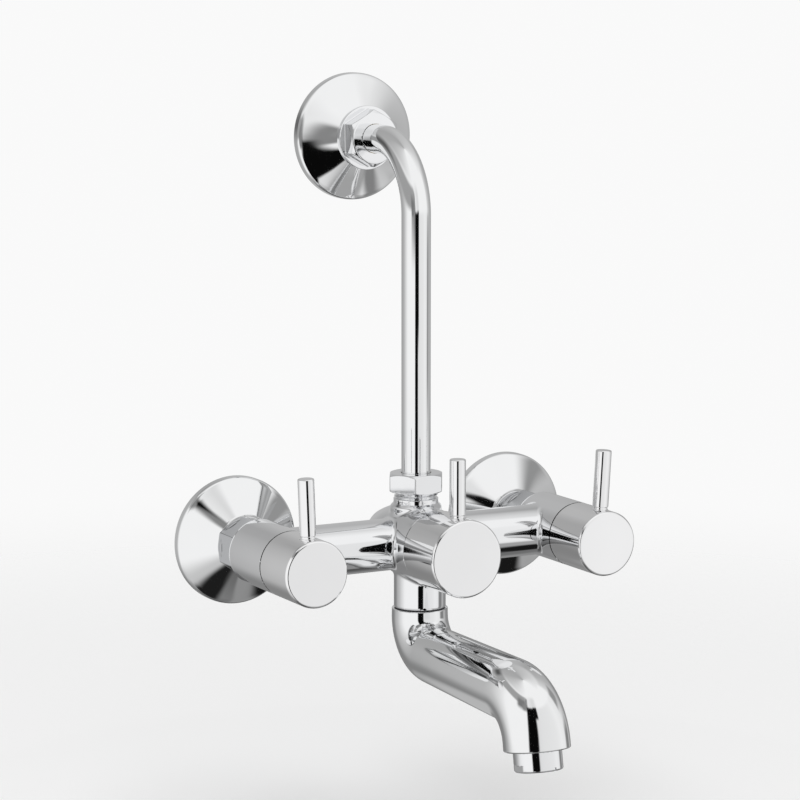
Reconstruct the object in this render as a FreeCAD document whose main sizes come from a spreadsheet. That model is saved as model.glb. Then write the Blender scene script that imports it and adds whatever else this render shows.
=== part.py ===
import FreeCAD, Part
import math
import os
import Sketcher

# Wall mixer with two valves, a diverter, a swivel spout and a riser bend.
# The origin lies on the wall, midway between the two inlets. The viewer is at -Y, and +Z is up.
# Sizes are millimetres and degrees. Depths are measured from the wall towards the viewer.

doc = FreeCAD.newDocument("wall_mixer")
sheet = doc.addObject("Spreadsheet::Sheet", "Sizes")


class Size:
    """A length or an angle: its value, and the spreadsheet formula that gives it."""

    def __init__(self, value, formula):
        self.value = value
        self.formula = formula

    def __add__(self, other):
        return combined(self, "+", other, self.value + value_of(other))

    def __radd__(self, other):
        return combined(other, "+", self, value_of(other) + self.value)

    def __sub__(self, other):
        return combined(self, "-", other, self.value - value_of(other))

    def __rsub__(self, other):
        return combined(other, "-", self, value_of(other) - self.value)

    def __mul__(self, other):
        return combined(self, "*", other, self.value * value_of(other))

    def __rmul__(self, other):
        return combined(other, "*", self, value_of(other) * self.value)

    def __truediv__(self, other):
        return combined(self, "/", other, self.value / value_of(other))

    def __neg__(self):
        return combined(0, "-", self, -self.value)


def value_of(number):
    return number.value if isinstance(number, Size) else float(number)


def formula_of(number):
    return number.formula if isinstance(number, Size) else repr(float(number))


def combined(left, sign, right, value):
    return Size(value, "(" + formula_of(left) + " " + sign + " " + formula_of(right) + ")")


def sine(angle):
    return Size(math.sin(math.radians(angle.value)), "sin(" + angle.formula + ")")


def cosine(angle):
    return Size(math.cos(math.radians(angle.value)), "cos(" + angle.formula + ")")


rows = []


def size(name, value):
    """A driving dimension: one cell of the spreadsheet, known by its alias."""
    rows.append(name)
    cell = "B" + str(len(rows))
    sheet.set("A" + str(len(rows)), name.replace("_", " "))
    sheet.set(cell, str(value))
    sheet.setAlias(cell, name)
    return Size(float(value), "Sizes." + name)


# Layout on the wall
inlet_spacing = size("inlet_spacing", 150.0)
leg_offset = size("leg_offset", 2.75)
axis_depth = size("axis_depth", 68.3)
neck_depth = size("neck_depth", 72.3)
riser_height = size("riser_height", 191.8)
flange_stand_off = size("flange_stand_off", 20.9)
hot_lean = size("hot_lean", 2.1)
cold_lean = size("cold_lean", 3.5)

# Gaps between the pieces
running_gap = size("running_gap", 0.05)
sliding_gap = size("sliding_gap", 0.3)
face_gap = size("face_gap", 0.3)
knob_gap = size("knob_gap", 0.8)
press_gap = size("press_gap", 0.02)

# Wall threads and legs
thread_radius = size("thread_radius", 10.48)
thread_length = size("thread_length", 14.0)
leg_radius = size("leg_radius", 9.9)
leg_bore = size("leg_bore", 6.0)
leg_sleeve_radius = size("leg_sleeve_radius", 8.2)
leg_collar_radius = size("leg_collar_radius", 10.5)
leg_collar_depth = size("leg_collar_depth", 42.0)
leg_collar_length = size("leg_collar_length", 3.0)
union_washer_length = size("union_washer_length", 2.0)

# Cover flanges
flange_radius = size("flange_radius", 31.2)
flange_rim = size("flange_rim", 3.6)
flange_lip = size("flange_lip", 1.8)
flange_depth = size("flange_depth", 15.0)
flange_neck_radius = size("flange_neck_radius", 13.6)
flange_neck_length = size("flange_neck_length", 1.6)
flange_neck_edge = size("flange_neck_edge", 0.4)
flange_wall = size("flange_wall", 1.2)
flange_hollow = size("flange_hollow", 0.4)

# Union nuts on the legs and on the wall end of the riser
nut_across = size("nut_across", 24.5)
leg_nut_ring_radius = size("leg_nut_ring_radius", 12.9)
upper_nut_ring_radius = size("upper_nut_ring_radius", 15.6)
nut_ring_length = size("nut_ring_length", 3.4)
nut_chamfer = size("nut_chamfer", 1.4)
nut_flat_bite = size("nut_flat_bite", 0.3)
upper_nut_length = size("upper_nut_length", 11.4)

# Valve housings, cross tube and middle barrel of the casting
housing_radius = size("housing_radius", 15.75)
housing_back = size("housing_back", 55.1)
housing_front = size("housing_front", 89.5)
housing_edge = size("housing_edge", 1.2)
union_boss_radius = size("union_boss_radius", 10.6)
cross_tube_radius = size("cross_tube_radius", 12.5)
cross_bore = size("cross_bore", 6.5)
barrel_radius = size("barrel_radius", 18.57)
dome_back = size("dome_back", 36.5)
dome_flat = size("dome_flat", 10.4)
dome_front = size("dome_front", 64.0)
dome_bulge = size("dome_bulge", 1.0)

# Chambers for the cartridges
seat_depth = size("seat_depth", 62.5)
chamber_radius = size("chamber_radius", 10.2)
bonnet_depth = size("bonnet_depth", 76.9)
bonnet_radius = size("bonnet_radius", 11.15)
port_radius = size("port_radius", 2.8)
riser_port_depth = size("riser_port_depth", 66.2)
spout_port_depth = size("spout_port_depth", 73.0)

# Riser boss, nut and pipe
pipe_radius = size("pipe_radius", 7.05)
pipe_wall = size("pipe_wall", 1.0)
pipe_bend_radius = size("pipe_bend_radius", 34.3)
pipe_foot = size("pipe_foot", 20.0)
boss_skirt_radius = size("boss_skirt_radius", 12.4)
boss_skirt_top = size("boss_skirt_top", 17.8)
boss_collar_radius = size("boss_collar_radius", 10.8)
boss_collar_top = size("boss_collar_top", 21.7)
boss_floor = size("boss_floor", 18.0)
boss_top = size("boss_top", 31.0)
riser_nut_across = size("riser_nut_across", 24.9)
riser_nut_foot = size("riser_nut_foot", 24.6)
riser_nut_length = size("riser_nut_length", 9.3)
riser_nut_chamfer = size("riser_nut_chamfer", 1.2)
olive_length = size("olive_length", 1.5)
olive_thickness = size("olive_thickness", 1.5)
olive_taper = size("olive_taper", 0.5)
nipple_radius = size("nipple_radius", 10.0)
nipple_length = size("nipple_length", 24.0)
nipple_socket = size("nipple_socket", 12.0)
nipple_bore = size("nipple_bore", 5.5)

# Spout neck and spout
neck_radius = size("neck_radius", 12.5)
neck_foot = size("neck_foot", 30.8)
neck_bore = size("neck_bore", 6.3)
spigot_radius = size("spigot_radius", 9.4)
spigot_foot = size("spigot_foot", 45.0)
slip_ring_length = size("slip_ring_length", 0.6)
upper_seal_height = size("upper_seal_height", 34.6)
lower_seal_height = size("lower_seal_height", 43.0)
seal_section = size("seal_section", 0.9)
set_screw_height = size("set_screw_height", 38.9)
set_screw_radius = size("set_screw_radius", 2.0)
set_screw_length = size("set_screw_length", 3.9)
set_screw_key_across = size("set_screw_key_across", 2.0)
set_screw_key_depth = size("set_screw_key_depth", 1.2)
screw_groove_depth = size("screw_groove_depth", 1.2)
spout_top_radius = size("spout_top_radius", 13.5)
spout_mouth_radius = size("spout_mouth_radius", 15.4)
spout_bend_start = size("spout_bend_start", 35.0)
spout_first_bend = size("spout_first_bend", 17.2)
spout_arm = size("spout_arm", 71.3)
spout_slope = size("spout_slope", 0.9)
spout_last_bend = size("spout_last_bend", 23.4)
spout_mouth_tilt = size("spout_mouth_tilt", 10.1)
spout_tail = size("spout_tail", 3.4)
waterway_top = size("waterway_top", 9.2)
waterway_mouth = size("waterway_mouth", 10.2)

# Aerator
aerator_thread_radius = size("aerator_thread_radius", 10.6)
aerator_thread_length = size("aerator_thread_length", 7.5)
aerator_radius = size("aerator_radius", 11.2)
aerator_skirt = size("aerator_skirt", 9.4)
aerator_bore = size("aerator_bore", 9.0)
aerator_lip = size("aerator_lip", 1.0)
aerator_across = size("aerator_across", 20.9)
aerator_flat_height = size("aerator_flat_height", 3.2)
aerator_notch_height = size("aerator_notch_height", 1.6)
aerator_notch_angle = size("aerator_notch_angle", 4.0)
aerator_notch_direction = size("aerator_notch_direction", 77.0)
insert_length = size("insert_length", 9.0)
insert_hole_radius = size("insert_hole_radius", 0.9)
insert_inner_circle = size("insert_inner_circle", 3.0)
insert_outer_circle = size("insert_outer_circle", 6.4)
aerator_washer_length = size("aerator_washer_length", 1.2)

# Cartridges
cage_radius = size("cage_radius", 9.4)
disc_bore = size("disc_bore", 8.1)
disc_length = size("disc_length", 2.5)
disc_film = size("disc_film", 0.05)
disc_hole_inner = size("disc_hole_inner", 2.4)
disc_hole_outer = size("disc_hole_outer", 6.2)
disc_hole_angle = size("disc_hole_angle", 80.0)
seat_seal_length = size("seat_seal_length", 2.0)
foot_length = size("foot_length", 3.3)
diverter_foot_length = size("diverter_foot_length", 1.6)
stem_radius = size("stem_radius", 4.2)
spline_radius = size("spline_radius", 3.9)
stem_end = size("stem_end", 112.5)
stem_ring_depth = size("stem_ring_depth", 83.0)
stem_ring_section = size("stem_ring_section", 0.5)
bonnet_seal_length = size("bonnet_seal_length", 0.4)
bonnet_flange_radius = size("bonnet_flange_radius", 13.0)
bonnet_flange_length = size("bonnet_flange_length", 1.5)
bonnet_across = size("bonnet_across", 17.0)
bonnet_hex_length = size("bonnet_hex_length", 4.4)
bonnet_neck_radius = size("bonnet_neck_radius", 6.2)
bonnet_neck_length = size("bonnet_neck_length", 2.0)
circlip_radius = size("circlip_radius", 5.6)
circlip_length = size("circlip_length", 0.8)
circlip_groove = size("circlip_groove", 3.4)
circlip_opening = size("circlip_opening", 60.0)
window_angle = size("window_angle", 80.0)
rotor_wall = size("rotor_wall", 1.5)
rotor_end_length = size("rotor_end_length", 2.0)
rotor_end_radius = size("rotor_end_radius", 8.7)
rotor_opening = size("rotor_opening", 260.0)

# Knobs and levers
knob_face = size("knob_face", 117.7)
diverter_knob_face = size("diverter_knob_face", 119.0)
knob_edge = size("knob_edge", 1.3)
knob_wall = size("knob_wall", 1.9)
knob_floor_gap = size("knob_floor_gap", 1.3)
lever_radius = size("lever_radius", 3.85)
lever_depth = size("lever_depth", 109.4)
lever_reach = size("lever_reach", 27.7)
cold_lever_reach = size("cold_lever_reach", 28.7)
lever_root = size("lever_root", 5.5)
lever_edge = size("lever_edge", 0.6)
lever_undercut = size("lever_undercut", 0.4)
lever_undercut_length = size("lever_undercut_length", 1.0)
grub_radius = size("grub_radius", 2.5)
grub_length = size("grub_length", 6.0)
grub_margin = size("grub_margin", 0.5)
hex_key_across = size("hex_key_across", 2.5)
hex_key_depth = size("hex_key_depth", 2.5)

# How many holes the aerator insert has on each circle
INNER_HOLES = 6
OUTER_HOLES = 12

# Values worked out from the driving dimensions
flange_front = flange_stand_off + flange_depth
valve_spacing = inlet_spacing + 2 * leg_offset
leg_shank_end = flange_front + running_gap
union_nut_back = flange_front + face_gap
union_boss_back = leg_collar_depth + union_washer_length
union_nut_front = housing_back - face_gap
boss_bore = pipe_radius + running_gap
nut_thread = thread_radius + running_gap
spout_top = neck_foot + slip_ring_length
socket_radius = spigot_radius + running_gap
knob_back = housing_front + knob_gap
reach_to_first = spout_first_bend * (1 - sine(spout_slope))
drop_to_first = spout_bend_start + spout_first_bend * cosine(spout_slope)
reach_to_last = reach_to_first + spout_arm * cosine(spout_slope)
drop_to_last = drop_to_first + spout_arm * sine(spout_slope)
reach_to_tail = reach_to_last + spout_last_bend * (cosine(spout_mouth_tilt) - sine(spout_slope))
drop_to_tail = drop_to_last + spout_last_bend * (cosine(spout_slope) - sine(spout_mouth_tilt))
spout_reach = reach_to_tail + spout_tail * sine(spout_mouth_tilt)
mouth_drop = drop_to_tail + spout_tail * cosine(spout_mouth_tilt)
# The share of its radius by which a quarter arc stands off its chord
quarter_bulge = 1 - math.sqrt(0.5)
# How far a cut runs past the surface that it starts from
cut_margin = 1.0

# Directions: a piece's own X axis runs along its axis of revolution
X = FreeCAD.Vector(1, 0, 0)
Y = FreeCAD.Vector(0, 1, 0)
Z = FreeCAD.Vector(0, 0, 1)
UPRIGHT = FreeCAD.Rotation()
FORWARD = FreeCAD.Rotation(-Y, Z, -X, "XYZ")
ACROSS = FreeCAD.Rotation(X, Z, -Y, "XYZ")
UP = FreeCAD.Rotation(Z, X, Y, "XYZ")
DOWN = FreeCAD.Rotation(-Z, X, -Y, "XYZ")
TURNED_BACK = FreeCAD.Rotation(Z, 180)
# A sketch set square to the X axis, and turns of a sketch about the X axis
SQUARE = FreeCAD.Rotation(Y, Z, X, "XYZ")
TO_Y_AXIS = FreeCAD.Rotation(Y, -X, Z, "XYZ")
TO_MINUS_Y_AXIS = FreeCAD.Rotation(-Y, X, Z, "XYZ")


def about_x(angle):
    return FreeCAD.Rotation(X, angle)


def bind_point(thing, path, point):
    """Tie the three parts of a position to the spreadsheet."""
    for axis, number in zip("xyz", point):
        if isinstance(number, Size):
            thing.setExpression(path + ".Base." + axis, number.formula)


def vector(point):
    return FreeCAD.Vector(*[value_of(number) for number in point])


def new_body(label, origin=(0, 0, 0), rotation=UPRIGHT):
    body = doc.addObject("PartDesign::Body", label)
    body.Label = label
    body.Placement = FreeCAD.Placement(vector(origin), rotation)
    bind_point(body, "Placement", origin)
    return body


def new_sketch(body, name, origin=(0, 0, 0), rotation=UPRIGHT):
    """A sketch on the body's own XY plane, moved and turned by its attachment offset."""
    sketch = body.newObject("Sketcher::SketchObject", body.Name + "_" + name)
    planes = [feature for feature in body.Origin.OriginFeatures if feature.Role == "XY_Plane"]
    sketch.AttachmentSupport = [(planes[0], "")]
    sketch.MapMode = "FlatFace"
    sketch.AttachmentOffset = FreeCAD.Placement(vector(origin), rotation)
    bind_point(sketch, "AttachmentOffset", origin)
    return sketch


def hold(sketch, kind, *places):
    """A dimension of the sketch; its last value may be a Size, which binds it to the sheet."""
    number = places[-1]
    index = sketch.addConstraint(Sketcher.Constraint(kind, *places[:-1], value_of(number)))
    if isinstance(number, Size):
        sketch.setExpression("Constraints[" + str(index) + "]", number.formula)


def hold_point(sketch, edge, end, point):
    hold(sketch, "DistanceX", -1, 1, edge, end, point[0])
    hold(sketch, "DistanceY", -1, 1, edge, end, point[1])


def arc_between(start, finish, bulge):
    """An arc that stands off its chord by bulge, on the right of the way from start to finish."""
    chord = finish - start
    right = FreeCAD.Vector(chord.y, -chord.x, 0)
    right.normalize()
    middle = (start + finish) * 0.5 + right * bulge
    return Part.Arc(start, middle, finish)


def draw_outline(sketch, outline, closed=True):
    """Draw lines, or arcs to the points that carry a bulge, and hold every corner."""
    count = len(outline)
    edges = []
    for number in range(count if closed else count - 1):
        here = outline[number]
        there = outline[(number + 1) % count]
        start = vector((here[0], here[1], 0))
        finish = vector((there[0], there[1], 0))
        if len(there) == 2:
            edge = sketch.addGeometry(Part.LineSegment(start, finish))
            edges.append((edge, 1, 2))
            continue
        bulge = there[2]
        edge = sketch.addGeometry(arc_between(start, finish, value_of(bulge)))
        clockwise = value_of(bulge) < 0
        edges.append((edge, 2, 1) if clockwise else (edge, 1, 2))
        across = there[0] - here[0]
        along = there[1] - here[1]
        height = -bulge if clockwise else bulge
        hold(sketch, "Radius", edge, ((across * across + along * along) / 4 + height * height) / (2 * height))
    for number, (edge, first, last) in enumerate(edges):
        hold_point(sketch, edge, first, outline[number])
        if number + 1 < len(edges):
            following, start_end, unused = edges[number + 1]
            sketch.addConstraint(Sketcher.Constraint("Coincident", edge, last, following, start_end))
    edge, first, last = edges[-1]
    if closed:
        sketch.addConstraint(Sketcher.Constraint("Coincident", edge, last, edges[0][0], edges[0][1]))
    else:
        hold_point(sketch, edge, last, outline[-1])


def draw_circle(sketch, centre, radius):
    circle = sketch.addGeometry(Part.Circle(vector((centre[0], centre[1], 0)), Z, value_of(radius)))
    hold_point(sketch, circle, 3, centre)
    hold(sketch, "Radius", circle, radius)


def revolve(body, name, sketch, cut=False, angle=None):
    """Revolve a sketch about its X axis, all round or by an angle with the sketch in the middle."""
    kind = "PartDesign::Groove" if cut else "PartDesign::Revolution"
    feature = body.newObject(kind, body.Name + "_" + name + "_turned")
    feature.Profile = (sketch, [""])
    feature.ReferenceAxis = (sketch, ["H_Axis"])
    feature.Angle = 360.0
    if angle is not None:
        feature.Midplane = True
        feature.Angle = angle.value
        feature.setExpression("Angle", angle.formula)
    body.Tip = feature
    doc.recompute()


def turn(body, name, outline, origin=(0, 0, 0), rotation=UPRIGHT, cut=False, angle=None):
    """Revolve an outline of (distance along the axis, radius) points."""
    sketch = new_sketch(body, name, origin, rotation)
    draw_outline(sketch, outline)
    revolve(body, name, sketch, cut, angle)


def rectangle(start, finish, inner, outer):
    return [(start, inner), (start, outer), (finish, outer), (finish, inner)]


def drill(body, name, start, finish, radius, origin=(0, 0, 0), rotation=UPRIGHT):
    turn(body, name, rectangle(start, finish, 0, radius), origin, rotation, cut=True)


def extrude(body, name, sketch, length, cut=False):
    kind = "PartDesign::Pocket" if cut else "PartDesign::Pad"
    feature = body.newObject(kind, body.Name + "_" + name + "_extruded")
    feature.Profile = sketch
    feature.Length = value_of(length)
    feature.setExpression("Length", length.formula)
    feature.Reversed = cut
    body.Tip = feature
    doc.recompute()


def hexagon(body, name, across, origin, length, rotation=UPRIGHT, cut=False):
    """A hexagonal prism that starts at origin, with one corner towards the piece's Y axis."""
    sketch = new_sketch(body, name, origin, rotation.multiply(SQUARE))
    corner = across / math.sqrt(3.0)
    flat = across / 2
    half_flat = corner / 2
    corners = [(corner, 0), (half_flat, flat), (-half_flat, flat)]
    corners += [(-corner, 0), (-half_flat, -flat), (half_flat, -flat)]
    draw_outline(sketch, corners)
    extrude(body, name, sketch, length, cut)


def trim_corners(body, name, across, end, chamfer, sign=1):
    """Cut the corners of a hexagon back to a cone at one end."""
    corner = across / math.sqrt(3.0)
    beyond = corner + chamfer
    root = end - sign * chamfer
    outline = [(end, across / 2 - nut_flat_bite), (end, beyond), (root, beyond), (root, corner)]
    turn(body, name, outline, cut=True)


def ring_of_circle(body, name, along, radius, section):
    """A ring of round section, such as a rubber seal."""
    sketch = new_sketch(body, name)
    draw_circle(sketch, (along, radius), section)
    revolve(body, name, sketch)


def valve_point(side):
    return (side * valve_spacing / 2, 0, 0)


def leaning(lean):
    """The forward direction, turned so that the lever leans to the right by lean degrees."""
    return FreeCAD.Rotation(Y, value_of(lean)).multiply(FORWARD)


def build_mixer_body():
    """The casting: two housings, cross tube, domed barrel, riser boss and spout neck."""
    body = new_body("mixer_body")
    sides = (("hot", valve_point(-1)), ("cold", valve_point(1)))
    riser_point = (0, -axis_depth, 0)
    neck_point = (0, -neck_depth, 0)
    housing = [
        (union_boss_back, 0),
        (union_boss_back, union_boss_radius),
        (housing_back, union_boss_radius),
        (housing_back, housing_radius - housing_edge),
        (housing_back + housing_edge, housing_radius, -quarter_bulge * housing_edge),
        (housing_front, housing_radius),
        (housing_front, 0),
    ]
    tube = rectangle(0, valve_spacing, 0, cross_tube_radius)
    barrel = [
        (dome_back, 0),
        (dome_back, dome_flat),
        (dome_front, barrel_radius, -dome_bulge),
        (housing_front, barrel_radius),
        (housing_front, 0),
    ]
    boss = [
        (0, 0),
        (0, boss_skirt_radius),
        (boss_skirt_top, boss_skirt_radius),
        (boss_skirt_top + boss_skirt_radius - boss_collar_radius, boss_collar_radius),
        (boss_collar_top, boss_collar_radius),
        (boss_collar_top, thread_radius),
        (boss_top, thread_radius),
        (boss_top, 0),
    ]
    neck = [
        (0, 0),
        (0, neck_radius),
        (neck_foot, neck_radius),
        (neck_foot, spigot_radius),
        (spigot_foot, spigot_radius),
        (spigot_foot, 0),
    ]
    chamber = [
        (seat_depth, 0),
        (seat_depth, chamber_radius),
        (bonnet_depth, chamber_radius),
        (bonnet_depth, bonnet_radius + running_gap),
        (housing_front + face_gap, bonnet_radius + running_gap),
        (housing_front + face_gap, 0),
    ]
    turn(body, "hot_housing", housing, sides[0][1], FORWARD)
    turn(body, "cross_tube", tube, (-valve_spacing / 2, -axis_depth, 0), ACROSS)
    turn(body, "cold_housing", housing, sides[1][1], FORWARD)
    turn(body, "barrel", barrel, (0, 0, 0), FORWARD)
    turn(body, "riser_boss", boss, riser_point, UP)
    turn(body, "neck", neck, neck_point, DOWN)
    for name, point in sides:
        turn(body, name + "_chamber", chamber, point, FORWARD, cut=True)
        drill(body, name + "_inlet", union_boss_back, seat_depth, leg_bore, point, FORWARD)
    turn(body, "middle_chamber", chamber, (0, 0, 0), FORWARD, cut=True)
    drill(body, "cross_bore", 0, valve_spacing, cross_bore, (-valve_spacing / 2, -axis_depth, 0), ACROSS)
    drill(body, "riser_port", 0, boss_floor, port_radius, (0, -riser_port_depth, 0), UP)
    drill(body, "riser_socket", boss_floor, boss_top, boss_bore, riser_point, UP)
    neck_floor = barrel_radius
    drill(body, "spout_port", 0, neck_floor, port_radius, (0, -spout_port_depth, 0), DOWN)
    drill(body, "neck_bore", neck_floor, spigot_foot, neck_bore, neck_point, DOWN)
    beyond = spigot_radius + cut_margin
    groove_floor = spigot_radius - 2 * seal_section - running_gap
    half_groove = seal_section + running_gap
    for name, height in (("upper", upper_seal_height), ("lower", lower_seal_height)):
        groove = rectangle(height - half_groove, height + half_groove, groove_floor, beyond)
        turn(body, name + "_seal_groove", groove, neck_point, DOWN, cut=True)
    half_groove = set_screw_radius + face_gap
    groove = rectangle(set_screw_height - half_groove, set_screw_height + half_groove,
                       spigot_radius - screw_groove_depth, beyond)
    turn(body, "screw_groove", groove, neck_point, DOWN, cut=True)


def build_leg(label, side):
    """An eccentric leg: wall thread and shank, then a sleeve on the valve's own axis."""
    body = new_body(label, (side * inlet_spacing / 2, 0, 0), FORWARD)
    offset = (0, 0, -side * leg_offset)
    sleeve_root = leg_shank_end - leg_collar_length
    root_radius = leg_radius - leg_offset - running_gap
    shank = [
        (-thread_length, 0),
        (-thread_length, thread_radius),
        (0, thread_radius),
        (0, leg_radius),
        (leg_shank_end, leg_radius),
        (leg_shank_end, 0),
    ]
    sleeve = [
        (sleeve_root, 0),
        (sleeve_root, root_radius),
        (leg_shank_end, root_radius),
        (union_nut_back, leg_sleeve_radius),
        (leg_collar_depth - leg_collar_length, leg_sleeve_radius),
        (leg_collar_depth - leg_collar_length, leg_collar_radius),
        (leg_collar_depth, leg_collar_radius),
        (leg_collar_depth, 0),
    ]
    turn(body, "shank", shank)
    turn(body, "sleeve", sleeve, offset)
    drill(body, "wall_bore", -thread_length, leg_shank_end, leg_bore)
    drill(body, "valve_bore", sleeve_root, leg_collar_depth, leg_bore, offset)


def build_washer(label, origin, rotation, start, length, inner, outer):
    body = new_body(label, origin, rotation)
    turn(body, "section", rectangle(start, start + length, inner, outer))


def build_flange(label, origin):
    """A cover flange: rolled rim, a bell that is nearly a straight cone, and a neck that slides on the leg."""
    body = new_body(label, origin, FORWARD)
    neck_back = flange_depth - flange_neck_length
    bore = thread_radius + sliding_gap
    outline = [
        (0, flange_radius - flange_wall),
        (0, flange_radius),
        (flange_rim, flange_radius),
        (flange_rim + flange_lip, flange_radius - flange_lip, -quarter_bulge * flange_lip),
        (neck_back, flange_neck_radius, flange_hollow),
        (flange_depth, flange_neck_radius - flange_neck_edge),
        (flange_depth, bore),
        (neck_back - flange_wall, bore),
        (neck_back - flange_wall, flange_neck_radius - flange_wall),
        (flange_rim, flange_radius - flange_lip - flange_wall, -flange_hollow),
    ]
    turn(body, "shell", outline)


def build_union_nut(label, origin, back, front, ring_radius):
    """A nut with a round ring at its back, a hexagon and a wall that holds the collar."""
    body = new_body(label, origin, FORWARD)
    ring = [
        (back, 0),
        (back, ring_radius - nut_chamfer),
        (back + nut_chamfer, ring_radius, -quarter_bulge * nut_chamfer),
        (back + nut_ring_length, ring_radius),
        (back + nut_ring_length, 0),
    ]
    turn(body, "ring", ring)
    hexagon(body, "hexagon", nut_across, (back, 0, 0), front - back)
    trim_corners(body, "front_corners", nut_across, front, nut_chamfer)
    trim_corners(body, "back_corners", nut_across, back, nut_chamfer, -1)
    return body


def build_leg_nut(label, side):
    body = build_union_nut(label, valve_point(side), union_nut_back, union_nut_front, leg_nut_ring_radius)
    collar_seat = leg_collar_depth - leg_collar_length
    drill(body, "hole", union_nut_back, collar_seat, leg_sleeve_radius + running_gap)
    drill(body, "thread", collar_seat, union_nut_front, union_boss_radius + running_gap)


def build_riser():
    """The riser bend with its olives, nuts and the nipple in the wall."""
    wall_point = (0, 0, riser_height)
    riser_point = (0, -axis_depth, 0)
    bend_start = riser_height - pipe_bend_radius
    wall_end = axis_depth - (nipple_length - nipple_socket) - 2 * face_gap

    pipe = new_body("riser_pipe", riser_point, UPRIGHT)
    path = new_sketch(pipe, "path", rotation=SQUARE)
    bulge = quarter_bulge * pipe_bend_radius
    bend_end = (pipe_bend_radius, riser_height, -bulge)
    route = [(0, pipe_foot), (0, bend_start), bend_end, (wall_end, riser_height)]
    draw_outline(path, route, closed=False)
    section = new_sketch(pipe, "section", (0, 0, pipe_foot))
    draw_circle(section, (0, 0), pipe_radius)
    draw_circle(section, (0, 0), pipe_radius - pipe_wall)
    sweep = pipe.newObject("PartDesign::AdditivePipe", "riser_pipe_sweep")
    sweep.Profile = section
    sweep.Spine = (path, ["Edge1", "Edge2", "Edge3"])
    pipe.Tip = sweep

    nut_top = riser_nut_foot + riser_nut_length
    nut = new_body("riser_nut", riser_point, UP)
    hexagon(nut, "hexagon", riser_nut_across, (riser_nut_foot, 0, 0), riser_nut_length)
    trim_corners(nut, "top_corners", riser_nut_across, nut_top, riser_nut_chamfer)
    trim_corners(nut, "foot_corners", riser_nut_across, riser_nut_foot, riser_nut_chamfer, -1)
    olive_top = boss_top + olive_length + 2 * running_gap
    drill(nut, "thread", riser_nut_foot, olive_top, nut_thread)
    drill(nut, "hole", olive_top, nut_top, pipe_radius + sliding_gap)

    build_olive("riser_olive", riser_point, UP, boss_top)
    build_olive("upper_olive", wall_point, FORWARD, nipple_length)

    nipple = new_body("upper_nipple", wall_point, FORWARD)
    shank = [
        (-thread_length, 0),
        (-thread_length, thread_radius),
        (0, thread_radius),
        (0, nipple_radius),
        (nipple_length, nipple_radius),
        (nipple_length, 0),
    ]
    turn(nipple, "shank", shank)
    drill(nipple, "bore", -thread_length, nipple_length, nipple_bore)
    drill(nipple, "socket", nipple_length - nipple_socket, nipple_length, boss_bore)

    back = flange_depth + face_gap
    front = back + upper_nut_length
    upper_nut = build_union_nut("upper_nut", wall_point, back, front, upper_nut_ring_radius)
    olive_seat = nipple_length + olive_length + 2 * running_gap
    drill(upper_nut, "thread", back, olive_seat, nipple_radius + running_gap)
    drill(upper_nut, "hole", olive_seat, front, pipe_radius + sliding_gap)


def build_olive(label, origin, rotation, start):
    """A compression ring with conical ends, pressed on the pipe."""
    body = new_body(label, origin, rotation)
    foot = start + running_gap
    outer = pipe_radius + olive_thickness
    outline = [
        (foot, boss_bore),
        (foot, outer - olive_taper),
        (foot + olive_taper, outer),
        (foot + olive_length - olive_taper, outer),
        (foot + olive_length, outer - olive_taper),
        (foot + olive_length, boss_bore),
    ]
    turn(body, "section", outline)


def build_bonnet(body, bore_start):
    """Thread, flange, hexagon and neck that every cartridge body shares."""
    flange_back = housing_front + bonnet_seal_length
    hex_back = flange_back + bonnet_flange_length
    neck_back = hex_back + bonnet_hex_length
    neck_front = neck_back + bonnet_neck_length
    outline = [
        (bonnet_depth + face_gap, 0),
        (bonnet_depth + face_gap, bonnet_radius),
        (flange_back, bonnet_radius),
        (flange_back, bonnet_flange_radius),
        (hex_back, bonnet_flange_radius),
        (hex_back, bonnet_neck_radius),
        (neck_front, bonnet_neck_radius),
        (neck_front, 0),
    ]
    turn(body, "bonnet", outline)
    hexagon(body, "hexagon", bonnet_across, (hex_back, 0, 0), bonnet_hex_length)
    drill(body, "stem_bore", bore_start, neck_front, stem_radius + running_gap)


def bonnet_front():
    return housing_front + bonnet_seal_length + bonnet_flange_length + bonnet_hex_length + bonnet_neck_length


def circlip_front():
    return bonnet_front() + 2 * running_gap + circlip_length


def build_stem(label, origin, rotation, foot_start, foot_end):
    """A spindle: foot, stem with a seal groove, circlip groove and splined end."""
    body = new_body(label, origin, rotation)
    front = bonnet_front() + running_gap
    groove_front = front + circlip_length + 2 * running_gap
    ring_floor = stem_radius - 2 * stem_ring_section - running_gap
    half_groove = stem_ring_section + running_gap
    outline = [
        (foot_start, 0),
        (foot_start, disc_bore - sliding_gap),
        (foot_end, disc_bore - sliding_gap),
        (foot_end, stem_radius),
        (stem_ring_depth - half_groove, stem_radius),
        (stem_ring_depth - half_groove, ring_floor),
        (stem_ring_depth + half_groove, ring_floor),
        (stem_ring_depth + half_groove, stem_radius),
        (front, stem_radius),
        (front, circlip_groove),
        (groove_front, circlip_groove),
        (groove_front, spline_radius),
        (stem_end, spline_radius),
        (stem_end, 0),
    ]
    turn(body, "profile", outline)


def build_stem_parts(prefix, origin, rotation):
    """The seal ring and the circlip that ride on a spindle."""
    ring = new_body(prefix + "_stem_ring", origin, rotation)
    ring_of_circle(ring, "section", stem_ring_depth, stem_radius - stem_ring_section, stem_ring_section)
    circlip = new_body(prefix + "_circlip", origin, rotation)
    start = bonnet_front() + 2 * running_gap
    outline = rectangle(start, start + circlip_length, circlip_groove + press_gap, circlip_radius)
    turn(circlip, "section", outline, angle=360 - circlip_opening)


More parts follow.
